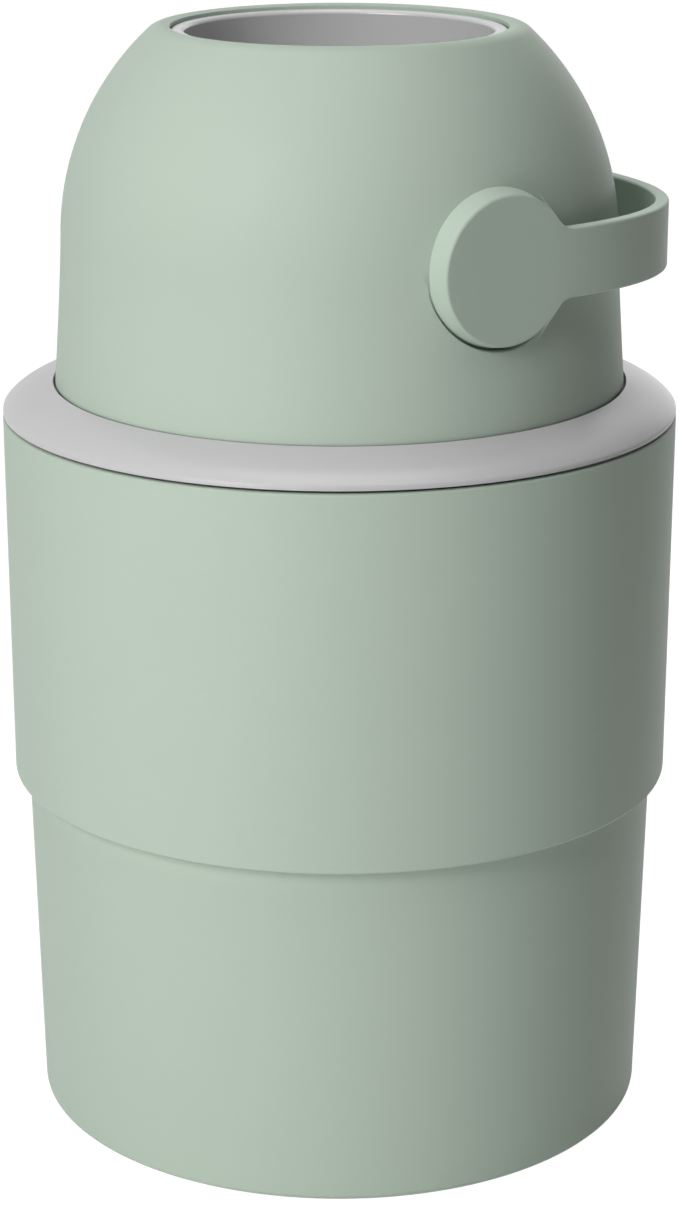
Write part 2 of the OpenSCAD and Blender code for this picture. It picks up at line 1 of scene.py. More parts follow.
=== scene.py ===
"""Flip-drum nappy bin: pieces, finishes and studio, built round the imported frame.

Each operator models one piece, or a group of like pieces, in metres and in the
frame's own axes: +Z up, the handle's axis along Y and its bow towards +X.
"""

import json
import math
from bisect import bisect_left
from types import SimpleNamespace

import bmesh
import bpy
from bpy.props import FloatProperty, FloatVectorProperty, PointerProperty
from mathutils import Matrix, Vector


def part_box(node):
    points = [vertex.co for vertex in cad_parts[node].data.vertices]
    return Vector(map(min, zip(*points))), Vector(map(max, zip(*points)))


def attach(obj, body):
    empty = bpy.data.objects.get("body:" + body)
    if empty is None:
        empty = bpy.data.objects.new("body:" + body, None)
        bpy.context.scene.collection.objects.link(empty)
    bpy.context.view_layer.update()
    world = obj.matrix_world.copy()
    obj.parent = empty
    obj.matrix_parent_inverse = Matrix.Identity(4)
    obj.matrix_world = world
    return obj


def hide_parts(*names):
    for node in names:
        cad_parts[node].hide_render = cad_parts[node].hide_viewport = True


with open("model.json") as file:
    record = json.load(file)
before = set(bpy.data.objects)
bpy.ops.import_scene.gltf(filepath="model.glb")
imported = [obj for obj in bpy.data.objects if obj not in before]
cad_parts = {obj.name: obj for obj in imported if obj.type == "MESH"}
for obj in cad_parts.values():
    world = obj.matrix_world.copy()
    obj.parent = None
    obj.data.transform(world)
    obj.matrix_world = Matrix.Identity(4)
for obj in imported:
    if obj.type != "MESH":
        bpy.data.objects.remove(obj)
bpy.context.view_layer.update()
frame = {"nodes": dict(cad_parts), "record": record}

bl_info = {
    "name": "Flip-drum nappy bin",
    "version": (1, 0, 0),
    "blender": (4, 5, 0),
    "location": "3D View > Sidebar > Nappy bin",
    "description": "Models and finishes a nappy bin round its packed frame",
    "category": "Object",
}

MM = 0.001
SIDES = 144             # sides of a large turned part
SEAT_SIDES = 96         # sides of what lies round the handle's disc
CUT_PAST = 2 * MM       # how far a cutter passes the face that it opens
CRISP = 0.3 * MM        # rounding of an edge that looks sharp
EASED = 0.4 * MM        # rounding of an inner edge
SOFT = 0.8 * MM         # rounding of an edge that fingers meet
FULL = 1.1 * MM         # rounding of the sleeve's rim and the well's rim
FOOT_R = 10 * MM        # outer radius of a rubber foot
FLARE_POWER = 1.2       # how late the dome's skirt widens


# ---------- sizes and colours ----------

def length(name, description, default):
    """A size in metres that a user can change."""
    return FloatProperty(name=name, description=description, default=default, min=0, unit="LENGTH",
                         precision=5)


def colour(name, description, default):
    """A linear colour that a user can change."""
    return FloatVectorProperty(name=name, description=description, default=default, size=3, min=0, max=1,
                               subtype="COLOR")


def lamp_power(name, where, default):
    """The power in watts of one soft lamp."""
    return FloatProperty(name=f"{name} lamp", description=where, default=default, min=0, unit="POWER")


def top_of(node):
    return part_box(node)[1]


def foot_of(node):
    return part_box(node)[0]


class BinSizes(bpy.types.PropertyGroup):
    """Sizes that the photo shows or that a user may want to change"""
    wall: length("Body wall", "Wall of the bucket and the upper sleeve", 2.6 * MM)
    step_in: length("Step", "How far the bucket is set in under the sleeve", 5.2 * MM)
    bucket_draft: length("Bucket draft", "Radius that the bucket loses down to the floor", 3 * MM)
    sleeve_draft: length("Sleeve draft", "Radius that the sleeve loses from its rim to the step", 0.6 * MM)
    foot_edge: length("Foot edge", "Rounding of the bucket's lower edge", 2.6 * MM)
    dome_r: length("Dome radius", "Radius of the dome's round part", 102.5 * MM)
    dome_wall: length("Dome wall", "Wall of the dome", 3 * MM)
    dome_centre: length("Dome centre", "Height of the dome's centre above the floor", 335.3 * MM)
    crown_edge: length("Crown edge", "Rounding of the dome's crown", 7 * MM)
    ring_wall: length("Ring wall", "Wall of the light ring", 2.6 * MM)
    ring_bead: length("Ring bead", "Rounding of the light ring's outer edge", 1.8 * MM)
    ring_gap: length("Ring gap", "Dark gap between the light ring and the sleeve", 1.0 * MM)
    well_r: length("Well radius", "Radius of the open well", 56 * MM)
    tube_wall: length("Tube wall", "Wall of the well's tube", 2.4 * MM)
    rim_w: length("Rim width", "Width of the rim round the well", 4.6 * MM)
    rim_in: length("Rim rounding", "Rounding of the rim's inner edge", 1.6 * MM)
    mouth_gap: length("Mouth gap", "Gap between the rim and the dome's mouth", 0.65 * MM)
    disc_r: length("Disc radius", "Radius of the handle's disc at its face", 26.3 * MM)
    disc_draft: length("Disc draft", "Extra radius of the disc at its back", 1.5 * MM)
    disc_t: length("Disc thickness", "Thickness of the handle's disc", 7.7 * MM)
    seat_gap: length("Seat gap", "Gap round the disc in its seat", 0.55 * MM)
    seat_depth: length("Seat depth", "From the back of the disc to the floor of its seat", 0.3 * MM)
    strap_h: length("Strap height", "Height of the handle's strap", 24.6 * MM)
    strap_t: length("Strap thickness", "Thickness of the handle's strap", 5 * MM)
    neck_r: length("Neck radius", "Hollow curve where the strap leaves the disc", 9 * MM)
    handle_edge: length("Handle edge", "Rounding of the handle's edges", 0.9 * MM)
    bow_power: FloatProperty(name="Bow squareness", description="2 makes the bow an ellipse seen from above",
                             default=2.8, min=2, max=6)


class BinColours(bpy.types.PropertyGroup):
    """Base colours of the finishes"""
    sage: colour("Sage", "Green of the body, dome and handle", (0.461, 0.549, 0.465))
    ring: colour("Ring grey", "Grey of the ring between body and dome", (0.533, 0.526, 0.534))
    well: colour("Well grey", "Grey of the well and its rim", (0.600, 0.600, 0.600))
    inner: colour("Inner grey", "Grey of the drum and the plates inside", (0.330, 0.330, 0.340))
    seal: colour("Seal grey", "Grey of the soft seals", (0.170, 0.170, 0.178))
    rubber: colour("Foot rubber", "Black of the feet", (0.030, 0.030, 0.031))
    steel: colour("Steel", "Zinc plate on screws and washers", (0.600, 0.610, 0.630))


class BinStudio(bpy.types.PropertyGroup):
    """Camera and lamps"""
    azimuth: FloatProperty(name="Camera azimuth", description="Side from which the camera looks",
                           default=math.radians(-33), subtype="ANGLE")
    tilt: FloatProperty(name="Camera tilt", description="How far the camera looks down",
                        default=math.radians(17.52), subtype="ANGLE")
    distance: length("Camera distance", "From the bin's axis to the camera, level", 1127.2 * MM)
    height: length("Camera height", "Height of the camera above the floor", 547.4 * MM)
    lens: FloatProperty(name="Lens", description="Focal length for a 36 mm long side", default=91.63)
    sky: FloatProperty(name="Surround", description="Strength of the pale surroundings", default=0.0)
    key: lamp_power("Key", "Left front", 20.8)
    high_left: lamp_power("High left", "High above on the left", 1.5)
    overhead: lamp_power("Overhead", "Wide, almost straight above", 16)
    back_left: lamp_power("Back left", "High behind on the left", 1.8)
    rim_right: lamp_power("Right rim", "Low behind on the right", 2)
    low_front: lamp_power("Low front", "Near the floor, at the foot of the bin", 2.4)


def plan():
    """Sizes that follow from the ones above and from the frame, by the names that the source uses."""
    s = bpy.context.scene.bin_sizes
    p = SimpleNamespace()
    p.body_r = round(top_of("upper_sleeve").x, 5)
    p.body_h, p.step_h = top_of("upper_sleeve").z, foot_of("upper_sleeve").z
    p.body_in_r = p.body_r - s.wall
    p.step_r = p.body_r - s.sleeve_draft - s.step_in
    p.bucket_foot_r = p.step_r - s.bucket_draft
    p.low, p.bucket_top = foot_of("bucket").z, top_of("bucket").z
    p.floor_z = 4 * MM
    p.floor_t = 4 * MM
    p.foot_x = top_of("rubber_feet").x - FOOT_R
    p.pivot_z = (foot_of("handle").z + top_of("handle").z) / 2
    p.crown_z, p.top_z = top_of("dome").z, top_of("drum_tube").z
    p.foot_z = top_of("head_ring").z
    p.seat_z = foot_of("dome").z
    p.foot_r = round(top_of("dome").x, 5)
    p.flare = p.foot_r - s.dome_r
    p.skirt_h = s.dome_centre - p.foot_z
    p.drum_half = p.top_z - p.pivot_z
    p.ball_r = round(top_of("drum_shell_front").x, 5)
    p.shell_half = p.pivot_z - top_of("drum_end_ring").z
    p.rim_r = s.well_r + s.rim_w
    p.mouth_r = p.rim_r + s.mouth_gap
    p.tube_r = s.well_r + s.tube_wall
    p.disc_face = top_of("handle").y
    p.disc_back = p.disc_face - s.disc_t
    p.recess_y = p.disc_back - s.seat_depth
    p.disc_back_r = s.disc_r + s.disc_draft
    p.recess_r = p.disc_back_r + s.seat_gap
    p.bow_reach = top_of("handle").x
    return s, p


# ---------- hands: picking up, selecting and shaping a mesh ----------

def put_down():
    """Leaves edit mode, with nothing selected."""
    if bpy.context.object and bpy.context.object.mode != "OBJECT":
        bpy.ops.object.mode_set(mode="OBJECT")
    bpy.ops.object.select_all(action="DESELECT")


def pick_up(piece):
    put_down()
    piece.select_set(True)
    bpy.context.view_layer.objects.active = piece


def edit(piece):
    pick_up(piece)
    bpy.ops.object.mode_set(mode="EDIT")


def settle():
    """Puts the active piece's place, turn and scale into its mesh."""
    bpy.ops.object.transform_apply(location=True, rotation=True, scale=True)
    return bpy.context.object


def select(kind, test):
    """In edit mode, selects the edges or faces that pass the test. Fails when none does."""
    bpy.ops.mesh.select_mode(type=kind)
    bpy.ops.mesh.select_all(action="DESELECT")
    mesh = bmesh.from_edit_mesh(bpy.context.object.data)
    found = [part for part in {"EDGE": mesh.edges, "FACE": mesh.faces}[kind] if test(part)]
    for part in found:
        part.select_set(True)
    mesh.select_flush_mode()
    bmesh.update_edit_mesh(bpy.context.object.data)
    if not found:
        raise RuntimeError(f"nothing to select on {bpy.context.object.name}")


def select_open_edges():
    """In edit mode, selects the edges of the mesh's openings."""
    bpy.ops.mesh.select_all(action="DESELECT")
    bpy.ops.mesh.select_non_manifold(extend=False, use_wire=False, use_boundary=True, use_multi_face=False,
                                     use_non_contiguous=False, use_verts=False)


def near(a, b, slack=2e-6):
    return abs(a - b) < slack


def at_ring(vertex, r, z):
    return near(math.hypot(vertex.co.x, vertex.co.y), r) and near(vertex.co.z, z)


def extrude_edges():
    """Extrudes the selected edges on the spot. The new ones stay selected."""
    bpy.ops.mesh.extrude_edges_move(TRANSFORM_OT_translate={"value": (0, 0, 0)})


def ring_to(r_from, z_from, r, z):
    """Extrudes the selected ring to another radius and height."""
    extrude_edges()
    bpy.ops.transform.translate(value=(0, 0, z - z_from))
    bpy.ops.transform.resize(value=(r / r_from, r / r_from, 1), center_override=(0, 0, z))


def round_ring(r, z, rounding):
    """Rounds the edge that runs round the axis at this radius and height, in 2 to 6 steps."""
    select("EDGE", lambda e: all(at_ring(v, r, z) for v in e.verts))
    steps = 2 + min(4, int(rounding / SOFT))
    bpy.ops.mesh.bevel(offset=rounding, offset_type="OFFSET", segments=steps, affect="EDGES",
                       clamp_overlap=False)


def mend():
    """Merges doubles and turns all faces outwards."""
    bpy.ops.mesh.select_all(action="SELECT")
    bpy.ops.mesh.remove_doubles(threshold=1e-6)
    bpy.ops.mesh.select_all(action="SELECT")
    bpy.ops.mesh.normals_make_consistent(inside=False)


def turned(name, rings, closed=True, sides=SIDES):
    """A part turned on a lathe. rings is its section, each (radius, height) or (radius, height, rounding).
    A closed section joins its last ring to its first; an open one gets a flat face at each end."""
    put_down()
    r, z = rings[0][:2]
    bpy.ops.mesh.primitive_circle_add(vertices=sides, radius=r, location=(0, 0, z))
    piece = settle()
    piece.name = name
    bpy.ops.object.mode_set(mode="EDIT")
    bpy.ops.mesh.select_mode(type="EDGE")
    bpy.ops.mesh.select_all(action="SELECT")
    for ring in rings[1:]:
        ring_to(r, z, ring[0], ring[1])
        r, z = ring[:2]
    select_open_edges()
    if closed:
        bpy.ops.mesh.bridge_edge_loops()
    else:
        bpy.ops.mesh.fill_holes(sides=0)
    mend()
    for ring in rings:
        if len(ring) > 2 and ring[2] > 0:
            round_ring(*ring)
    put_down()
    return piece


def cut(piece, *cutters, operation="DIFFERENCE"):
    """Cuts other pieces out of this one, or joins or intersects it with them, and removes them."""
    for cutter in cutters:
        pick_up(piece)
        change = piece.modifiers.new("cut", "BOOLEAN")
        change.operation, change.object, change.solver = operation, cutter, "EXACT"
        bpy.ops.object.modifier_apply(modifier=change.name)
        bpy.data.objects.remove(cutter)


def rod(name, r, start, end, sides, bevel=0.0):
    """A straight round bar between two points, as a cutter or a peg."""
    start, end = Vector(start), Vector(end)
    along = end - start
    put_down()
    bpy.ops.mesh.primitive_cylinder_add(vertices=sides, radius=r, depth=along.length,
                                        location=(start + end) / 2,
                                        rotation=along.to_track_quat("Z", "Y").to_euler())
    piece = settle()
    piece.name = name
    if bevel:
        edit(piece)
        select("EDGE", lambda e: len(e.link_faces) == 2 and e.calc_face_angle() > 1)
        bpy.ops.mesh.bevel(offset=bevel, segments=3, affect="EDGES")
        put_down()
    return piece


def block(name, low, high):
    """A bar with square corners between two opposite corners."""
    low, high = Vector(low), Vector(high)
    put_down()
    bpy.ops.mesh.primitive_cube_add(size=1, location=(low + high) / 2, scale=high - low)
    piece = settle()
    piece.name = name
    return piece


def turned_copies(piece, count):
    """Repeats a piece evenly round the axis, and joins the copies into it."""
    made = [piece]
    for i in range(1, count):
        pick_up(piece)
        bpy.ops.object.duplicate(linked=False)
        bpy.ops.transform.rotate(value=math.tau * i / count, orient_axis="Z", center_override=(0, 0, 0))
        made.append(settle())
    pick_up(piece)
    for other in made[1:]:
        other.select_set(True)
    bpy.ops.object.join()
    return bpy.context.object


def smooth(piece, angle):
    """Smooth shading up to an angle in degrees, with the large faces keeping their own normals."""
    pick_up(piece)
    bpy.ops.object.shade_smooth_by_angle(angle=math.radians(angle), keep_sharp_edges=True)
    even = piece.modifiers.new("normals", "WEIGHTED_NORMAL")
    even.keep_sharp = True
    even.weight = 60        # above the middle of the scale, so that large faces lead
    bpy.ops.object.modifier_apply(modifier=even.name)


def finish_piece(piece, body, material, slot, *nodes, angle=32):
    """Shades a piece, gives it its finish, and puts it on its body in place of CAD nodes."""
    smooth(piece, angle)
    piece.data.materials.clear()
    piece.data.materials.append(material)
    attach(piece, body)
    if nodes:
        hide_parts(*nodes)
    put_down()


# ---------- finishes ----------

class Wire:
    """One output of a shader node. Arithmetic written on it adds Math nodes."""

    def __init__(self, bench, socket):
        self.bench, self.socket = bench, socket

    def maths(self, operation, first, second):
        return self.bench.node("ShaderNodeMath", {"operation": operation}, {0: first, 1: second})

    def __add__(self, other):
        return self.maths("ADD", self, other)

    def __radd__(self, other):
        return self.maths("ADD", other, self)

    def __sub__(self, other):
        return self.maths("SUBTRACT", self, other)

    def __rsub__(self, other):
        return self.maths("SUBTRACT", other, self)

    def __mul__(self, other):
        return self.maths("MULTIPLY", self, other)

    def __rmul__(self, other):
        return self.maths("MULTIPLY", other, self)

    def maximum(self, other):
        return self.maths("MAXIMUM", self, other)


class Bench:
    """Where one finish is mixed: the emptied nodes of a new material or world."""

    def __init__(self, owner):
        owner.use_nodes = True
        self.owner = owner
        self.tree = owner.node_tree
        self.tree.nodes.clear()

    def node(self, kind, settings=None, values=None, output=0):
        """Adds a node. settings are set first, then values or wires go to its sockets."""
        made = self.tree.nodes.new(kind)
        for key, value in (settings or {}).items():
            if key == "stops":
                for element, (place, grey) in zip(made.color_ramp.elements, value):
                    element.position, element.color = place, (grey, grey, grey, 1)
            else:
                setattr(made, key, value)
        for key, value in (values or {}).items():
            if isinstance(value, Wire):
                self.tree.links.new(value.socket, made.inputs[key])
            else:
                made.inputs[key].default_value = value
        return Wire(self, made.outputs[output]) if made.outputs else None

    def place(self):
        return self.node("ShaderNodeTexCoord", output="Object")

    def noise(self, scale, detail, stretch=(1, 1, 1)):
        """Noise from 0 to 1, with scale in grains per metre."""
        where = self.node("ShaderNodeMapping", {}, {"Vector": self.place(), "Scale": stretch})
        return self.node("ShaderNodeTexNoise", {}, {"Vector": where, "Scale": scale, "Detail": detail})

    def ramp(self, factor, low, high):
        """0 below low, 1 above high, with a straight rise between."""
        return self.node("ShaderNodeValToRGB", {"stops": [(low, 0.0), (high, 1.0)]}, {"Fac": factor})

    def mix(self, factor, first, second):
        """A colour between two colours or wires."""
        as_colour = [c if isinstance(c, Wire) else (*c, 1) for c in (first, second)]
        return self.node("ShaderNodeMix", {"data_type": "RGBA"},
                         {0: factor, 6: as_colour[0], 7: as_colour[1]}, output=2)

    def bump(self, height, strength, distance):
        return self.node("ShaderNodeBump", {}, {"Height": height, "Strength": strength, "Distance": distance})

    def surface(self, **values):
        """The finished surface, from named sockets of the Principled shader."""
        named = {key.replace("_", " ").title().replace("Ior", "IOR"): value for key, value in values.items()}
        shader = self.node("ShaderNodeBsdfPrincipled", {}, named)
        self.node("ShaderNodeOutputMaterial", {}, {"Surface": shader})
        return self.owner


def shade(base, share):
    """A colour made darker or lighter by a share."""
    return tuple(min(1.0, max(0.0, c * (1 + share))) for c in base)


def moulded(name, base, roughness, grain=0.25, drift=0.03, shine=0.22):
    """Moulded plastic: fine spark grain, a slow drift of tone, and an uneven polish."""
    bench = Bench(bpy.data.materials.new(name))
    slow = bench.noise(7, detail=3)
    pores = bench.noise(2600, detail=1)
    soft = bench.noise(420, detail=2)
    tone = bench.mix(slow, shade(base, -drift), shade(base, drift))
    speckle = bench.mix(bench.ramp(pores, 0.35, 0.65) * 0.35, tone, shade(base, -drift))
    texture, depth = pores * 0.6 + soft * 0.4, 0.04 * MM
    return bench.surface(base_color=speckle, specular_ior_level=shine,
                         roughness=roughness + (slow - 0.5) * 0.10 + (soft - 0.5) * 0.08,
                         normal=bench.bump(texture, grain, depth))


def soft_moulding(name, base, roughness=0.72, grain=0.4):
    """Soft seal or rubber: dull, with a fine talc bloom."""
    bench = Bench(bpy.data.materials.new(name))
    slow = bench.noise(40, detail=4)
    pores = bench.noise(1900, detail=2)
    bloom = bench.ramp(slow, 0.45, 0.75)
    tone = bench.mix(bloom * 0.5, base, shade(base, 0.35))
    return bench.surface(base_color=tone, roughness=roughness + (slow - 0.5) * 0.18,
                         normal=bench.bump(pores, grain, 0.05 * MM))


def plated(name, base):
    """Zinc-plated steel: fine turning lines and a slightly clouded plate."""
    bench = Bench(bpy.data.materials.new(name))
    cloud = bench.noise(160, detail=3)
    lines = bench.noise(700, detail=1, stretch=(1, 1, 8))
    tone = bench.mix(cloud, shade(base, -0.12), shade(base, 0.06))
    return bench.surface(base_color=tone, metallic=1.0, roughness=0.30 + (cloud - 0.5) * 0.2,
                         normal=bench.bump(lines, 0.15, 0.02 * MM))


def finishes():
    """All finishes, by name. Each is made once."""
    c = bpy.context.scene.bin_colours
    recipes = {
        "sage": lambda n: moulded(n, tuple(c.sage), 0.48, shine=0.13),
        "handle_sage": lambda n: moulded(n, tuple(c.sage), 0.45, shine=0.16),
        "ring_plastic": lambda n: moulded(n, tuple(c.ring), 0.30, grain=0.02, drift=0.015, shine=0.32),
        "well_plastic": lambda n: moulded(n, tuple(c.well), 0.24, grain=0.10, drift=0.02, shine=0.75),
        "inner_plastic": lambda n: moulded(n, tuple(c.inner), 0.45, grain=0.3),
        "seal": lambda n: soft_moulding(n, tuple(c.seal)),
        "foot_rubber": lambda n: soft_moulding(n, tuple(c.rubber), roughness=0.85, grain=0.6),
        "plated_steel": lambda n: plated(n, tuple(c.steel)),
    }
    return SimpleNamespace(**{name: bpy.data.materials.get(name) or recipe(name)
                              for name, recipe in recipes.items()})


# ---------- body ----------

class NAPPYBIN_OT_bucket(bpy.types.Operator):
    """Lower half of the body: drafted wall, rounded foot, floor with ribs and foot seats"""
    bl_idname = "nappybin.bucket"
    bl_label = "Bucket"

    def execute(self, context):
        s, p = plan()

        def wall_r(z):
            return p.bucket_foot_r + s.bucket_draft / p.step_h * z

        snap_gap = 0.71 * MM
        flange_r, flange_z = p.body_in_r - snap_gap, p.bucket_top - 3 * MM
        rim_in_r, rim_lean = p.bucket_foot_r - 5 * MM, 0.6 * MM
        floor_top, floor_corner = p.floor_z + p.floor_t, 5 * MM
        middle_r = 20 * MM
        piece = turned("bucket_wall", [
            (middle_r, p.floor_z),
            (rim_in_r, p.floor_z, 0.5 * MM),
            (rim_in_r + rim_lean, p.low, EASED),
            (wall_r(p.low), p.low, s.foot_edge),
            (wall_r(flange_z), flange_z),
            (flange_r, flange_z, CRISP),
            (flange_r, p.bucket_top, CRISP),
            (wall_r(p.bucket_top) - s.wall, p.bucket_top, 0.6 * MM),
            (wall_r(p.floor_z) - s.wall, floor_top, floor_corner),
            (middle_r, floor_top),
        ], closed=False)
        self.underside(p, piece)
        finish_piece(piece, "bin", finishes().sage, "body_green", "bucket")
        return {"FINISHED"}

    def underside(self, p, piece):
        """Ribs and a round hub under the floor, cut away round each foot."""
        hub_in, hub_out = 18 * MM, 20 * MM
        rib_half, rib_in, rib_out = 0.9 * MM, hub_in + 0.5 * MM, p.bucket_foot_r - 4 * MM
        low, high = p.low + 1 * MM, p.floor_z + 1 * MM
        rib = block("rib", (rib_in, -rib_half, low), (rib_out, rib_half, high))
        hub = turned("hub", [(hub_in, low), (hub_out, low), (hub_out, high), (hub_in, high)], sides=64)
        cut(piece, turned_copies(rib, 8), hub, operation="UNION")
        foot_gap = 0.2 * MM
        seat = rod("foot_seat", FOOT_R + foot_gap, (p.foot_x, p.foot_x, p.low - CUT_PAST),
                   (p.foot_x, p.foot_x, p.floor_z), sides=48)
        cut(piece, turned_copies(seat, 4))


class NAPPYBIN_OT_sleeve(bpy.types.Operator):
    """Upper half of the body, with its rounded rim, sharp step and inner ledges"""
    bl_idname = "nappybin.sleeve"
    bl_label = "Upper sleeve"

    def execute(self, context):
        s, p = plan()
        step_out_r = p.body_r - s.sleeve_draft
        lip_gap, lip_t = 0.4 * MM, 2.5 * MM
        lip_r, lip_top = p.step_r + lip_gap, p.step_h + lip_t
        shelf_r, shelf_z = p.body_in_r - 4 * MM, p.body_h - 6.3 * MM
        shelf_edge, shelf_foot = shelf_z - 3 * MM, shelf_z - 7 * MM
        piece = turned("upper_body", [
            (lip_r, p.step_h, CRISP),
            (step_out_r, p.step_h, FULL),
            (p.body_r, p.body_h, FULL),
            (p.body_in_r, p.body_h, EASED),
            (p.body_in_r, shelf_z, CRISP),
            (shelf_r, shelf_z, EASED),
            (shelf_r, shelf_edge, EASED),
            (p.body_in_r, shelf_foot, EASED),
            (step_out_r - s.wall, lip_top, EASED),
            (lip_r, lip_top, 0.2 * MM),
        ])
        finish_piece(piece, "bin", finishes().sage, "body_green", "upper_sleeve")
        return {"FINISHED"}


class NAPPYBIN_OT_feet(bpy.types.Operator):
    """Four rubber feet with ring treads, each on its stem"""
    bl_idname = "nappybin.feet"
    bl_label = "Rubber feet"

    def execute(self, context):
        _, p = plan()
        low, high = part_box("rubber_feet")
        tread_edge, groove_w, groove_lean = 0.15 * MM, 1.6 * MM, 0.3 * MM
        groove_top = low.z + 0.7 * MM
        tread = []
        for r in (2.6 * MM, 4.9 * MM, 7.2 * MM):
            tread += [
                (r, low.z, tread_edge),
                (r + groove_lean, groove_top),
                (r + groove_w - groove_lean, groove_top),
                (r + groove_w, low.z, tread_edge),
            ]
        stem_r = 3 * MM
        foot = turned("rubber_foot_set", [
            *tread,
            (FOOT_R, low.z, SOFT),
            (FOOT_R, p.floor_z, CRISP),
            (stem_r, p.floor_z),
            (stem_r, high.z, 0.5 * MM),
        ], closed=False, sides=48)
        pick_up(foot)
        bpy.ops.transform.translate(value=(p.foot_x, p.foot_x, 0))
        feet = turned_copies(settle(), 4)
        finish_piece(feet, "bin", finishes().foot_rubber, "foot_rubber", "rubber_feet")
        return {"FINISHED"}


class NAPPYBIN_OT_bag_ring(bpy.types.Operator):
    """Loose ring that holds the bag's edge, with two finger notches"""
    bl_idname = "nappybin.bag_ring"
    bl_label = "Bag ring"

    def execute(self, context):
        low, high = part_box("bag_ring")
        in_r, lip_t, lip_edge = 113.1 * MM, 2 * MM, 0.9 * MM
        shelf_z = high.z - 2.5 * MM
        ring = turned("bag_holder", [
            (in_r, low.z, lip_edge),
            (in_r, high.z, 1.2 * MM),
            (high.x, high.z, SOFT),
            (high.x, shelf_z, EASED),
            (in_r + lip_t, shelf_z, 0.5 * MM),
            (in_r + lip_t, low.z, lip_edge),
        ])
        notch_half, notch_reach, notch_top = 15 * MM, high.x - 5 * MM, shelf_z - 1 * MM
        cut(ring, block("notches", (-notch_reach, -notch_half, low.z - CUT_PAST),
                        (notch_reach, notch_half, notch_top)))
        finish_piece(ring, "bag_ring", finishes().well_plastic, "light_grey", "bag_ring")
        return {"FINISHED"}


# ---------- head ----------

class NAPPYBIN_OT_ring(bpy.types.Operator):
    """Light ring between the body and the dome, with its rounded slope and bead"""
    bl_idname = "nappybin.ring"
    bl_label = "Light ring"

    def execute(self, context):
        s, p = plan()
        ring_r, ring_z = p.body_r - 0.1 * MM, p.body_h + s.ring_gap
        under_r = ring_r - s.ring_wall
        inner_r = p.foot_r + 0.7 * MM
        ease = 0.3 * MM
        web_in_r, web_z = p.foot_r - 14.8 * MM, p.seat_z - 3 * MM
        skirt_r, skirt_z, skirt_t = p.body_in_r - 11.3 * MM, web_z - 24 * MM, 2.5 * MM
        piece = turned("light_ring", [
            (web_in_r, web_z, CRISP),
            (web_in_r, p.seat_z, CRISP),
            (inner_r, p.seat_z),
            (inner_r, p.foot_z - ease),
            *self.slope(s, ring_r, ring_z, inner_r + ease, p.foot_z),
            (ring_r, ring_z, 0.2 * MM),
            (under_r, ring_z, CRISP),
            (under_r, p.foot_z - 10.5 * MM),
            (under_r - 2.5 * MM, p.foot_z - 9.1 * MM),
            (skirt_r, web_z + 0.6 * MM, EASED),
            (skirt_r, skirt_z, SOFT),
            (skirt_r - skirt_t, skirt_z, SOFT),
            (skirt_r - skirt_t, web_z, EASED),
        ])
        finish_piece(piece, "head", finishes().ring_plastic, "ring_grey", "head_ring")
        return {"FINISHED"}

    def slope(self, s, ring_r, ring_z, top_r, top_z):
        """The ring's visible top: a slope that falls faster and faster, then a tight round bead."""
        lean = math.radians(41)         # of the slope where the bead takes over
        face_h = 0.8 * MM               # upright face below the bead
        even, power = 0.72, 5.7         # share of the fall that is even, and how late the rest comes
        crowding = 0.7                  # brings the rings closer together near the bead
        bead = s.ring_bead
        start_r = ring_r - bead * (1 - math.cos(lean))
        bead_z = ring_z + face_h
        fall = top_z - bead_z - bead * math.sin(lean)
        slope_steps, bead_steps = 20, 6
        rings = []
        for i in range(slope_steps + 1):
            t = (i / slope_steps) ** crowding
            rings.append((top_r + (start_r - top_r) * t, top_z - fall * (even * t + (1 - even) * t ** power)))
        for i in range(1, bead_steps + 1):
            a = lean * (1 - i / bead_steps)
            rings.append((ring_r - bead * (1 - math.cos(a)), bead_z + bead * math.sin(a)))
        return rings


def dome_radius(s, p, z):
    """Outer radius of the dome at a height."""
    below = s.dome_centre - z
    if below > 0:
        return s.dome_r + p.flare * (below / p.skirt_h) ** FLARE_POWER
    return math.sqrt(max(0.0, s.dome_r ** 2 - below ** 2))


def dome_line(s, inset, z_from, z_to, steps):
    """Rings on the dome's round between two heights, evenly spaced by angle, moved in by inset."""
    r = s.dome_r - inset
    start, end = [math.asin(max(-1.0, min(1.0, (z - s.dome_centre) / r))) for z in (z_from, z_to)]
    angles = [start + (end - start) * i / steps for i in range(steps + 1)]
    return [(r * math.cos(a), s.dome_centre + r * math.sin(a)) for a in angles]


def skirt_line(s, p, inset, z_from, z_to, steps):
    """Rings on the dome's skirt between two heights, moved in by inset."""
    heights = [z_from + (z_to - z_from) * i / steps for i in range(steps + 1)]
    return [(dome_radius(s, p, z) - inset, z) for z in heights]


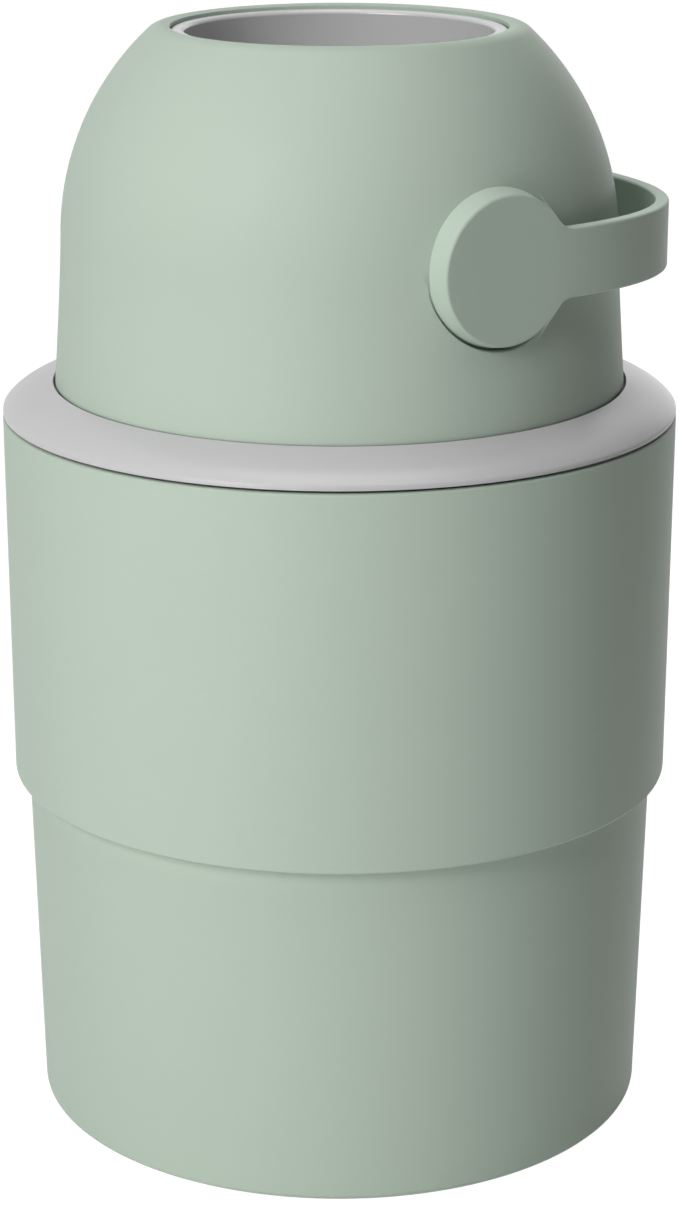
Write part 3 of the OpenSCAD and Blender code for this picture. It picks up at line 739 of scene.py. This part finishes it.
class NAPPYBIN_OT_dome(bpy.types.Operator):
    """Dome with its rounded crown, round mouth, and a seat for the handle's disc on each side"""
    bl_idname = "nappybin.dome"
    bl_label = "Dome"

    def execute(self, context):
        s, p = plan()
        ceiling_z = p.top_z - 5.5 * MM
        crown = self.crown(s, p)
        groove_r, groove_top = p.foot_r - 0.7 * MM, p.foot_z - 0.15 * MM
        outside = [
            (groove_r, p.seat_z),
            (groove_r, groove_top),
            (p.foot_r, groove_top),
            *skirt_line(s, p, 0, p.foot_z, s.dome_centre, 10)[1:],
            *dome_line(s, 0, s.dome_centre, crown[0][1], 22)[1:-1],
            *crown,
        ]
        hollow_r, hollow_from, hollow_to = p.ball_r + 0.5 * MM, 64 * MM, 67.4 * MM
        hollow = [(r, p.pivot_z + math.sqrt(hollow_r ** 2 - r ** 2)) for r in (hollow_from, hollow_to)]
        inside = [
            *dome_line(s, s.dome_wall, ceiling_z, s.dome_centre, 14)[:-1],
            *skirt_line(s, p, s.dome_wall, s.dome_centre, p.seat_z, 6),
        ]
        lip_h, lip_clear = 0.5 * MM, 0.4 * MM
        dome = turned("dome_shell", [
            *outside,
            (p.mouth_r, p.crown_z - lip_h, EASED),
            (p.mouth_r + 0.2 * MM, p.top_z - lip_clear),
            *hollow,
            *inside,
        ])
        for side in (-1, 1):
            self.seat(s, p, dome, side)
        finish_piece(dome, "head", finishes().sage, "body_green", "dome")
        return {"FINISHED"}

    def crown(self, s, p):
        """Rings over the rounded crown, from where it leaves the dome's round to just past its top."""
        edge_z = p.crown_z - s.crown_edge
        edge_r = math.sqrt((s.dome_r - s.crown_edge) ** 2 - (edge_z - s.dome_centre) ** 2)
        start, end = math.atan2(edge_z - s.dome_centre, edge_r), math.radians(94)
        steps = 8
        angles = [start + (end - start) * i / steps for i in range(steps + 1)]
        return [(edge_r + s.crown_edge * math.cos(a), edge_z + s.crown_edge * math.sin(a)) for a in angles]

    def seat(self, s, p, dome, side):
        """Pad for the bush behind the dome's wall, flat seat and land for the disc, and the bore."""
        def across(name, r, start_y, end_y, sides=SEAT_SIDES):
            return rod(name, r, (0, side * start_y, p.pivot_z), (0, side * end_y, p.pivot_z), sides=sides)

        pad_t, pad_w, bore_r = 6 * MM, 2.8 * MM, 14.55 * MM
        skin = 0.4 * MM         # how deep the pad stops under the dome's outside
        hair = 0.05 * MM        # keeps the land off the disc's back
        pad_y = p.recess_y - pad_t
        pad = across("pad", p.recess_r + pad_w, pad_y, s.dome_r + 6 * MM)
        core = turned("core", [
            *skirt_line(s, p, skin, p.seat_z, s.dome_centre, 8),
            *dome_line(s, skin, s.dome_centre, p.top_z - 5 * MM, 18)[1:],
        ], closed=False)
        cut(pad, core, operation="INTERSECT")
        cut(dome, pad, operation="UNION")
        cut(dome, self.seat_cutter(s, p, side))
        land = across("land", p.disc_back_r - hair, p.recess_y - pad_t / 2, p.disc_back - hair)
        cut(dome, land, operation="UNION")
        cut(dome, across("bore", bore_r, pad_y - CUT_PAST, p.recess_y + CUT_PAST, sides=64))

    def seat_cutter(self, s, p, side):
        """Flat-bottomed cutter whose mouth follows the dome, so that the seat's edge comes out eased."""
        ease = 0.7 * MM
        past_dome = 12 * MM
        put_down()
        bpy.ops.mesh.primitive_circle_add(vertices=120, radius=p.recess_r, fill_type="NGON")
        cutter = bpy.context.object
        cutter.name = "seat_cutter"
        bpy.ops.object.mode_set(mode="EDIT")
        # each step: how much wider than the seat, how far out from the dome, whether it follows the dome
        steps = [(0.0, 0.0, False), (0.0, -ease, True), (0.3 * ease, -0.3 * ease, True),
                 (ease, 0.0, True), (4 * ease, 1.5 * ease, True)]
        rise = 0.02 * MM        # least rise of each step above the seat's floor
        mesh = bmesh.from_edit_mesh(cutter.data)
        ring = list(mesh.verts)
        angles = [math.atan2(v.co.y, v.co.x) for v in ring]
        for number, (wider, out, follows) in enumerate(steps):
            if number:
                bpy.ops.mesh.select_mode(type="EDGE")
                extrude_edges()
                mesh = bmesh.from_edit_mesh(cutter.data)
                ring = [v for v in mesh.verts if v.select]
                angles = [math.atan2(v.co.z - p.pivot_z, v.co.x) for v in ring]
            r = p.recess_r + wider
            for vertex, angle in zip(ring, angles):
                x, z = r * math.cos(angle), p.pivot_z + r * math.sin(angle)
                surface_y = math.sqrt(dome_radius(s, p, z) ** 2 - x ** 2)
                y = max(surface_y + out, p.recess_y + number * rise) if follows else p.recess_y
                vertex.co = (x, side * y, z)
            bmesh.update_edit_mesh(cutter.data)
        select_open_edges()
        bpy.ops.mesh.extrude_edges_move(TRANSFORM_OT_translate={"value": (0, side * past_dome, 0)})
        bpy.ops.mesh.edge_face_add()
        mend()
        put_down()
        return cutter


# ---------- handle ----------

class Bow:
    """The bow's outer line seen from above, from the disc round to its middle."""

    def __init__(self, reach, half, straight, power, steps=600):
        self.points, self.lengths = [], []
        for i in range(steps + 1):
            a = math.radians(90 - 90 * i / steps)
            x = straight + (reach - straight) * math.cos(a) ** (2 / power)
            self.points.append(Vector((x, half * math.sin(a) ** (2 / power))))
        self.points.insert(0, Vector((0.0, half)))
        run = 0.0
        for before, after in zip([self.points[0], *self.points], self.points):
            run += (after - before).length
            self.lengths.append(run)
        self.length = run

    def at(self, run):
        """Place and outward direction at a distance along the line."""
        run = max(0.0, min(run, self.length))
        i = max(1, min(bisect_left(self.lengths, run), len(self.points) - 1))
        before, after = self.points[i - 1], self.points[i]
        share = (run - self.lengths[i - 1]) / max(self.lengths[i] - self.lengths[i - 1], 1e-12)
        along = self.direction(i) * share + self.direction(i - 1) * (1 - share)
        along.normalize()
        return before.lerp(after, share), Vector((-along.y, along.x))

    def direction(self, i):
        i = max(1, min(i, len(self.points) - 2))
        return (self.points[i + 1] - self.points[i - 1]).normalized()


class NAPPYBIN_OT_handle(bpy.types.Operator):
    """Handle in one moulding: a bow between two discs, with an axle behind each"""
    bl_idname = "nappybin.handle"
    bl_label = "Handle"

    arc_steps = 20          # across the strap
    neck_steps = 8          # along the hollow curves
    strap_steps = 52        # along half the bow

    def execute(self, context):
        s, p = plan()
        half = s.strap_h / 2
        reach = s.disc_r + s.neck_r
        neck_x = math.sqrt(reach ** 2 - (half + s.neck_r) ** 2)
        touch = math.atan2(half + s.neck_r, neck_x)
        straight = 6 * MM
        bow = Bow(p.bow_reach, p.disc_face, straight, s.bow_power)
        piece = self.disc_and_grid(s, half, neck_x, touch, bow)
        self.thicken(s, p, piece, touch, bow)
        self.bend(s, p, piece, bow)
        self.mirror(piece)
        for side in (-1, 1):
            self.axle(p, piece, side)
        finish_piece(piece, "drum", finishes().handle_sage, "handle_green", "handle", angle=40)
        return {"FINISHED"}

    def disc_and_grid(self, s, half, neck_x, touch, bow):
        """The flat outline, unrolled: x along the strap, y across it."""
        around = 96
        put_down()
        bpy.ops.mesh.primitive_circle_add(vertices=around, radius=s.disc_r, fill_type="NGON")
        piece = settle()
        piece.name = "handle_bow"
        bpy.ops.object.mode_set(mode="EDIT")
        mesh = bmesh.from_edit_mesh(piece.data)
        # the strap takes arc_steps of the circle's sides; they and the rest are spread to end at touch
        kept = self.arc_steps / 2 * math.tau / around
        for vertex in mesh.verts:
            a = math.atan2(vertex.co.y, vertex.co.x)
            size = abs(a)
            if size <= kept + 1e-6:
                size *= touch / kept
            else:
                size = touch + (size - kept) * (math.pi - touch) / (math.pi - kept)
            a = math.copysign(size, a)
            vertex.co = (s.disc_r * math.cos(a), s.disc_r * math.sin(a), 0)
        bmesh.update_edit_mesh(piece.data)
        for share in (0.06, 0.25):      # two rings on the disc's face, in from its edge
            select("FACE", lambda f: len(f.verts) == around)
            bpy.ops.mesh.inset(thickness=s.disc_r * share)
        select("EDGE", lambda e: all(near(v.co.length, s.disc_r) and
                                     abs(math.atan2(v.co.y, v.co.x)) < touch + 1e-4 for v in e.verts))
        neck_end = neck_x + 3 * MM
        strap_l = bow.length - neck_end
        strap = [neck_end + strap_l * i / self.strap_steps for i in range(1, self.strap_steps + 1)]
        corner = Vector((s.disc_r * math.cos(touch), s.disc_r * math.sin(touch)))
        rows = {}
        for column in range(1, self.neck_steps + 1 + len(strap)):
            extrude_edges()
            mesh = bmesh.from_edit_mesh(piece.data)
            for vertex in [v for v in mesh.verts if v.select]:
                if column == 1:
                    row = math.atan2(vertex.co.y, vertex.co.x) / touch
                else:
                    row = rows[(round(vertex.co.x, 7), round(vertex.co.y, 7))]
                start = Vector((s.disc_r * math.cos(row * touch), s.disc_r * math.sin(row * touch)))
                if column <= self.neck_steps:
                    top = self.neck_top(s, half, neck_x, touch, neck_end, column)
                    share = (top.x - corner.x) / (neck_end - corner.x)
                    x = start.x + (neck_end - start.x) * share
                    across = start.y / corner.y * (1 - share) + row * share
                    place = (x, top.y * across, 0)
                else:
                    place = (strap[column - self.neck_steps - 1], half * row, 0)
                vertex.co = place
                rows[(round(vertex.co.x, 7), round(vertex.co.y, 7))] = row
            bmesh.update_edit_mesh(piece.data)
        put_down()
        return piece

    def neck_top(self, s, half, neck_x, touch, neck_end, column):
        """Point on the upper hollow curve, and past it on the strap's straight edge."""
        curved = self.neck_steps - 2
        if column > curved:
            return Vector((neck_x + (neck_end - neck_x) * (column - curved) / 2, half))
        a = math.pi + touch + (math.pi / 2 - touch) * column / curved
        return Vector((neck_x + s.neck_r * math.cos(a), half + s.neck_r + s.neck_r * math.sin(a)))

    def thicken(self, s, p, piece, touch, bow):
        """Gives the outline its thickness, the disc its drafted back, and rounds the edges."""
        slack = 1e-5
        fade = 0.2              # radians past the strap over which the disc's draft comes in

        def reach(place):
            return math.hypot(place.x, place.y)

        def turn(place):
            return abs(math.atan2(place.y, place.x))

        edit(piece)
        bpy.ops.mesh.select_all(action="SELECT")
        bpy.ops.mesh.extrude_region_move(TRANSFORM_OT_translate={"value": (0, 0, -s.strap_t)})
        mesh = bmesh.from_edit_mesh(piece.data)

        def draft(vertices, gain):
            """Widens the disc's edge, with nothing under the strap and the whole gain a little past it."""
            for vertex in vertices:
                if reach(vertex.co) > s.disc_r - slack:
                    free = max(0.0, min(1.0, (turn(vertex.co) - touch) / fade))
                    grown = 1 + gain * free / s.disc_r
                    vertex.co.x *= grown
                    vertex.co.y *= grown

        on_disc = s.disc_r + 2 * slack
        draft([v for v in mesh.verts if near(v.co.z, -s.strap_t) and reach(v.co) < on_disc],
              s.disc_draft * s.strap_t / s.disc_t)
        bmesh.update_edit_mesh(piece.data)

        def back_of_disc(f):
            flat = all(near(v.co.z, -s.strap_t) for v in f.verts)
            inner = all(reach(v.co) < p.disc_back_r and (reach(v.co) < on_disc or turn(v.co) > touch)
                        for v in f.verts)
            return flat and inner and reach(f.calc_center_median()) < s.disc_r + 0.5 * MM

        select("FACE", back_of_disc)
        bpy.ops.mesh.extrude_region_move(TRANSFORM_OT_translate={"value": (0, 0, s.strap_t - s.disc_t)})
        mesh = bmesh.from_edit_mesh(piece.data)
        low = [v for v in mesh.verts if near(v.co.z, -s.disc_t)]
        draft(low, s.disc_draft * (1 - s.strap_t / s.disc_t))
        bmesh.update_edit_mesh(piece.data)
        mend()

        def outline(e):
            if len(e.link_faces) != 2:
                return False
            flat = [abs(f.normal.z) > 0.7 for f in e.link_faces]
            if flat[0] == flat[1]:
                return False
            at_front = all(near(v.co.z, 0) for v in e.verts)
            at_back = all(near(v.co.z, -s.strap_t) for v in e.verts)
            middle = (e.verts[0].co + e.verts[1].co) / 2
            on_strap = reach(middle) > s.disc_r and turn(middle) < touch
            at_end = all(near(v.co.x, bow.length, slack) for v in e.verts)
            return (at_front or (at_back and on_strap)) and not at_end

        select("EDGE", outline)
        bpy.ops.mesh.bevel(offset=s.handle_edge, segments=4, affect="EDGES", clamp_overlap=False)
        put_down()

    def bend(self, s, p, piece, bow):
        """Rolls the strap round the bow's line and stands the whole in its place on the front side."""
        for vertex in piece.data.vertices:
            run, across, depth = vertex.co.x, vertex.co.y, -vertex.co.z
            behind_strap = run < p.disc_back_r and depth > s.strap_t + 1e-6
            if run > 0 and not behind_strap:
                place, outward = bow.at(run)
                at = place - outward * depth
            else:
                at = Vector((run, p.disc_face - depth))
            vertex.co = (at.x, -at.y, p.pivot_z + across)

    def mirror(self, piece):
        """Adds the back half, joined at the middle of the bow."""
        edit(piece)
        mesh = bmesh.from_edit_mesh(piece.data)
        for vertex in mesh.verts:
            if near(vertex.co.y, 0, 0.02 * MM):
                vertex.co.y = 0
        bmesh.update_edit_mesh(piece.data)
        select("FACE", lambda f: all(abs(v.co.y) < 1e-9 for v in f.verts))
        bpy.ops.mesh.delete(type="FACE")
        put_down()
        pick_up(piece)
        other_half = piece.modifiers.new("other_half", "MIRROR")
        other_half.use_axis = (False, True, False)
        other_half.merge_threshold = 0.01 * MM
        bpy.ops.object.modifier_apply(modifier=other_half.name)
        edit(piece)
        mend()
        put_down()

    def axle(self, p, piece, side):
        """Round axle with its square end, behind the disc."""
        axle_r, square = 12 * MM, 6.5 * MM
        back, flat = p.disc_back + 0.5 * MM, p.disc_back - 8.2 * MM
        tip, inside = flat - 13.6 * MM, flat + 1 * MM
        round_part = rod("axle", axle_r, (0, side * flat, p.pivot_z), (0, side * back, p.pivot_z), sides=64,
                         bevel=EASED)
        low, high = sorted((side * tip, side * inside))
        end = block("square_end", (-square, low, p.pivot_z - square), (square, high, p.pivot_z + square))
        cut(piece, round_part, end, operation="UNION")


# ---------- drum and piston ----------

class NAPPYBIN_OT_well(bpy.types.Operator):
    """Tube of the well with its rounded rim and guide slots, and the rim at its other end"""
    bl_idname = "nappybin.well"
    bl_label = "Well"

    def execute(self, context):
        s, p = plan()
        shell_top = p.pivot_z + p.shell_half
        tube_foot = p.pivot_z - p.shell_half
        rim_foot_r = round(top_of("drum_tube").x, 5)
        tube = turned("well_tube", [
            (s.well_r, tube_foot),
            (s.well_r, p.top_z, s.rim_in),
            (p.rim_r, p.top_z, FULL),
            (rim_foot_r, shell_top, 0.2 * MM),
            (p.tube_r, shell_top),
            (p.tube_r, tube_foot),
        ])
        middle, slot_half = Vector((0, 0, p.pivot_z)), Vector((80 * MM, 4 * MM, 58.28 * MM))
        cut(tube, block("slots", middle - slot_half, middle + slot_half))
        finish_piece(tube, "drum", finishes().well_plastic, "light_grey", "drum_tube")
        end_z = p.pivot_z - p.drum_half
        ring = turned("well_end_ring", [
            (s.well_r, tube_foot),
            (s.well_r, end_z, s.rim_in),
            (p.rim_r, end_z, FULL),
            (rim_foot_r, tube_foot, 0.2 * MM),
        ])
        finish_piece(ring, "drum", finishes().well_plastic, "light_grey", "drum_end_ring")
        return {"FINISHED"}


class NAPPYBIN_OT_piston(bpy.types.Operator):
    """Two halves of the piston, with dished decks and guide lugs, and the soft wiper between them"""
    bl_idname = "nappybin.piston"
    bl_label = "Piston"

    def execute(self, context):
        s, p = plan()
        low, high = foot_of("piston_lower").z, top_of("piston_upper").z
        middle = (low + high) / 2
        half_h = (high - low) / 2
        wiper_half = 1 * MM
        deck_r, deck_edge = s.well_r - 1.4 * MM, 2.4 * MM
        weight_r, weight_half = 37.5 * MM, 3.2 * MM
        dish_out, dish_in, dish_edge = deck_r - 8 * MM, 18 * MM, 1.5 * MM
        middle_r, lug_top = 6 * MM, 5 * MM
        for name, side in (("piston_upper", 1), ("piston_lower", -1)):
            profile = [
                (middle_r, weight_half),
                (weight_r, weight_half),
                (weight_r, wiper_half),
                (deck_r - 2 * MM, wiper_half, EASED),
                (deck_r, wiper_half + 1.5 * MM, CRISP),
                (deck_r, half_h, deck_edge),
                (dish_out, half_h - 0.2 * MM, dish_edge),
                (dish_in, half_h - 1.8 * MM, dish_edge),
                (middle_r, half_h - 2 * MM),
            ]
            piece = turned(f"{name}_deck", [(r, middle + side * z, *edge) for r, z, *edge in profile],
                           closed=False, sides=96)
            for end in (-1, 1):
                lug = self.lug(p, deck_r, end, middle + side * wiper_half, middle + side * lug_top)
                cut(piece, lug, operation="UNION")
            if side < 0:
                ring_r, well_r, well_h, first = 42.6 * MM, 4 * MM, 5 * MM, math.radians(60)
                x, y = ring_r * math.cos(first), ring_r * math.sin(first)
                screw_well = rod("screw_well", well_r, (x, y, low - CUT_PAST), (x, y, low + well_h), sides=24)
                cut(piece, turned_copies(screw_well, 3))
            finish_piece(piece, "piston", finishes().inner_plastic, "mid_grey", name)
        self.wiper(middle, wiper_half, weight_r)
        return {"FINISHED"}

    def lug(self, p, deck_r, end, from_z, to_z):
        """Eased bar from inside the deck's edge into one of the well's guide slots."""
        half_w, root, play, ease = 3.7 * MM, 3 * MM, 0.6 * MM, 0.5 * MM
        inner, outer = sorted((end * (deck_r - root), end * (p.tube_r - play)))
        low, high = sorted((from_z, to_z))
        lug = block("lug", (inner, -half_w, low), (outer, half_w, high))
        edit(lug)
        select("EDGE", lambda e: abs((e.verts[0].co - e.verts[1].co).normalized().y) < 0.5)
        bpy.ops.mesh.bevel(offset=ease, segments=2, affect="EDGES")
        put_down()
        return lug

    def wiper(self, middle, wiper_half, in_r):
        """Soft ring that thins to a blunt lip at the well's wall."""
        lip_r, lip_half, lip_edge = round(top_of("piston_wiper").x, 5), 0.4 * MM, 0.25 * MM
        thin_r, thin_edge = lip_r - 2.5 * MM, 0.6 * MM
        wiper = turned("piston_wiper_lip", [
            (in_r, middle - wiper_half, CRISP),
            (thin_r, middle - wiper_half, thin_edge),
            (lip_r, middle - lip_half, lip_edge),
            (lip_r, middle + lip_half, lip_edge),
            (thin_r, middle + wiper_half, thin_edge),
            (in_r, middle + wiper_half, CRISP),
        ])
        finish_piece(wiper, "piston", finishes().seal, "soft_seal", "piston_wiper")


class NAPPYBIN_OT_frame_parts(bpy.types.Operator):
    """Finishes of the frame's own parts that are shown as they are"""
    bl_idname = "nappybin.frame_parts"
    bl_label = "Frame parts"

    def execute(self, context):
        f = finishes()
        by_slot = {"body_green": f.sage, "handle_green": f.handle_sage, "ring_grey": f.ring_plastic,
                   "light_grey": f.well_plastic, "mid_grey": f.inner_plastic, "soft_seal": f.seal,
                   "foot_rubber": f.foot_rubber, "steel": f.plated_steel}
        for part in frame["record"]["subparts"]:
            node = frame["nodes"][part["node"]]
            if not node.hide_render:
                for slot in node.material_slots:
                    slot.material = by_slot[part["material_slot"]]
        return {"FINISHED"}


# ---------- studio ----------

# Each lamp: azimuth from the camera and elevation in degrees, then the height that it aims at, its distance
# from there and its size in metres
LAMPS = {
    "key": (-37, 30, 0.2, 2.0, 0.9),
    "high_left": (-90, 70, 0.2, 2.0, 0.9),
    "overhead": (8, 81, 0.2, 2.0, 1.3),
    "back_left": (-160, 57, 0.2, 2.0, 0.9),
    "rim_right": (155, 10, 0.2, 2.0, 0.9),
    "low_front": (-30, 5.5, 0.02, 1.0, 0.4),
}


class NAPPYBIN_OT_stage(bpy.types.Operator):
    """Pale floor, soft lamps, pale surroundings and the camera"""
    bl_idname = "nappybin.stage"
    bl_label = "Stage"

    def execute(self, context):
        studio = context.scene.bin_studio
        self.camera(context, studio)
        self.floor()
        self.surroundings(context, studio)
        for name, (azimuth, elevation, aim_z, distance, size) in LAMPS.items():
            data = self.lamp(context, name, studio.azimuth + math.radians(azimuth), math.radians(elevation),
                             aim_z, distance)
            data.energy, data.size = getattr(studio, name), size
        context.scene.view_settings.view_transform = "Standard"
        return {"FINISHED"}

    def camera(self, context, studio):
        data = bpy.data.cameras.new("photo_camera")
        long_side = 36
        data.lens, data.sensor_width = studio.lens, long_side
        camera = bpy.data.objects.new("photo_camera", data)
        context.scene.collection.objects.link(camera)
        camera.location = (math.sin(studio.azimuth) * studio.distance,
                           -math.cos(studio.azimuth) * studio.distance, studio.height)
        camera.rotation_euler = (math.pi / 2 - studio.tilt, 0, studio.azimuth)
        context.scene.camera = camera

    def floor(self):
        put_down()
        floor_w = 12
        bpy.ops.mesh.primitive_plane_add(size=floor_w, location=(0, 0, 0))
        floor = bpy.context.object
        floor.name = "floor"
        bench = Bench(bpy.data.materials.new("pale_floor"))
        duller, paler = (0.84, 0.84, 0.84), (0.86, 0.86, 0.86)
        speck = bench.mix(bench.noise(300, detail=2), duller, paler)
        paint = bench.node("ShaderNodeBsdfDiffuse", {}, {"Color": speck})
        glow, glow_share = 1.2, 0.85        # the rest of the backdrop is the paint, which keeps the shadow
        white = bench.node("ShaderNodeEmission", {}, {"Strength": glow})
        backdrop = bench.node("ShaderNodeMixShader", {}, {0: glow_share, 1: paint, 2: white})
        seen = bench.node("ShaderNodeMixShader", {}, {0: self.seen_directly(bench), 1: paint, 2: backdrop})
        bench.node("ShaderNodeOutputMaterial", {}, {"Surface": seen})
        floor.data.materials.append(bench.owner)

    def seen_directly(self, bench):
        """1 for what the camera sees, straight, mirrored or through glass."""
        camera, glossy, transmission = [
            bench.node("ShaderNodeLightPath", output=name)
            for name in ("Is Camera Ray", "Is Glossy Ray", "Is Transmission Ray")]
        return camera.maximum(glossy.maximum(transmission))

    def surroundings(self, context, studio):
        """White where it is seen, straight or mirrored, and elsewhere as bright as sky says."""
        context.scene.world = bpy.data.worlds.new("pale_surroundings")
        bench = Bench(context.scene.world)
        soft = bench.node("ShaderNodeBackground", {}, {"Strength": studio.sky})
        white = bench.node("ShaderNodeBackground", {}, {"Color": (1, 1, 1, 1), "Strength": 1})
        both = bench.node("ShaderNodeMixShader", {}, {0: self.seen_directly(bench), 1: soft, 2: white})
        bench.node("ShaderNodeOutputWorld", {}, {"Surface": both})

    def lamp(self, context, name, azimuth, elevation, aim_z, distance):
        """A square soft lamp that shines on the bin's axis at a height. Returns its data."""
        data = bpy.data.lights.new(name, "AREA")
        data.shape = "SQUARE"
        lamp = bpy.data.objects.new(name, data)
        context.scene.collection.objects.link(lamp)
        aim = Vector((0, 0, aim_z))
        level = distance * math.cos(elevation)
        lamp.location = aim + Vector((level * math.sin(azimuth), -level * math.cos(azimuth),
                                      distance * math.sin(elevation)))
        lamp.rotation_euler = (aim - lamp.location).to_track_quat("-Z", "Y").to_euler()
        return data


# ---------- panel and registration ----------

ORDER = ("bucket", "sleeve", "feet", "bag_ring", "ring", "dome", "handle", "well", "piston", "frame_parts",
         "stage")


class NAPPYBIN_PT_panel(bpy.types.Panel):
    bl_label = "Nappy bin"
    bl_idname = "NAPPYBIN_PT_panel"
    bl_space_type = "VIEW_3D"
    bl_region_type = "UI"
    bl_category = "Nappy bin"

    def draw(self, context):
        for group in (context.scene.bin_sizes, context.scene.bin_colours, context.scene.bin_studio):
            box = self.layout.box()
            for name in group.__annotations__:
                box.prop(group, name)
        for name in ORDER:
            self.layout.operator(f"nappybin.{name}")


CLASSES = (
    BinSizes, BinColours, BinStudio,
    NAPPYBIN_OT_bucket, NAPPYBIN_OT_sleeve, NAPPYBIN_OT_feet, NAPPYBIN_OT_bag_ring, NAPPYBIN_OT_ring,
    NAPPYBIN_OT_dome, NAPPYBIN_OT_handle, NAPPYBIN_OT_well, NAPPYBIN_OT_piston, NAPPYBIN_OT_frame_parts,
    NAPPYBIN_OT_stage, NAPPYBIN_PT_panel,
)


def register():
    for cls in CLASSES:
        bpy.utils.register_class(cls)
    bpy.types.Scene.bin_sizes = PointerProperty(type=BinSizes)
    bpy.types.Scene.bin_colours = PointerProperty(type=BinColours)
    bpy.types.Scene.bin_studio = PointerProperty(type=BinStudio)


def unregister():
    del bpy.types.Scene.bin_studio
    del bpy.types.Scene.bin_colours
    del bpy.types.Scene.bin_sizes
    for cls in reversed(CLASSES):
        bpy.utils.unregister_class(cls)


def main():
    register()
    for name in ORDER:
        getattr(bpy.ops.nappybin, name)()


if __name__ == "__main__":
    main()
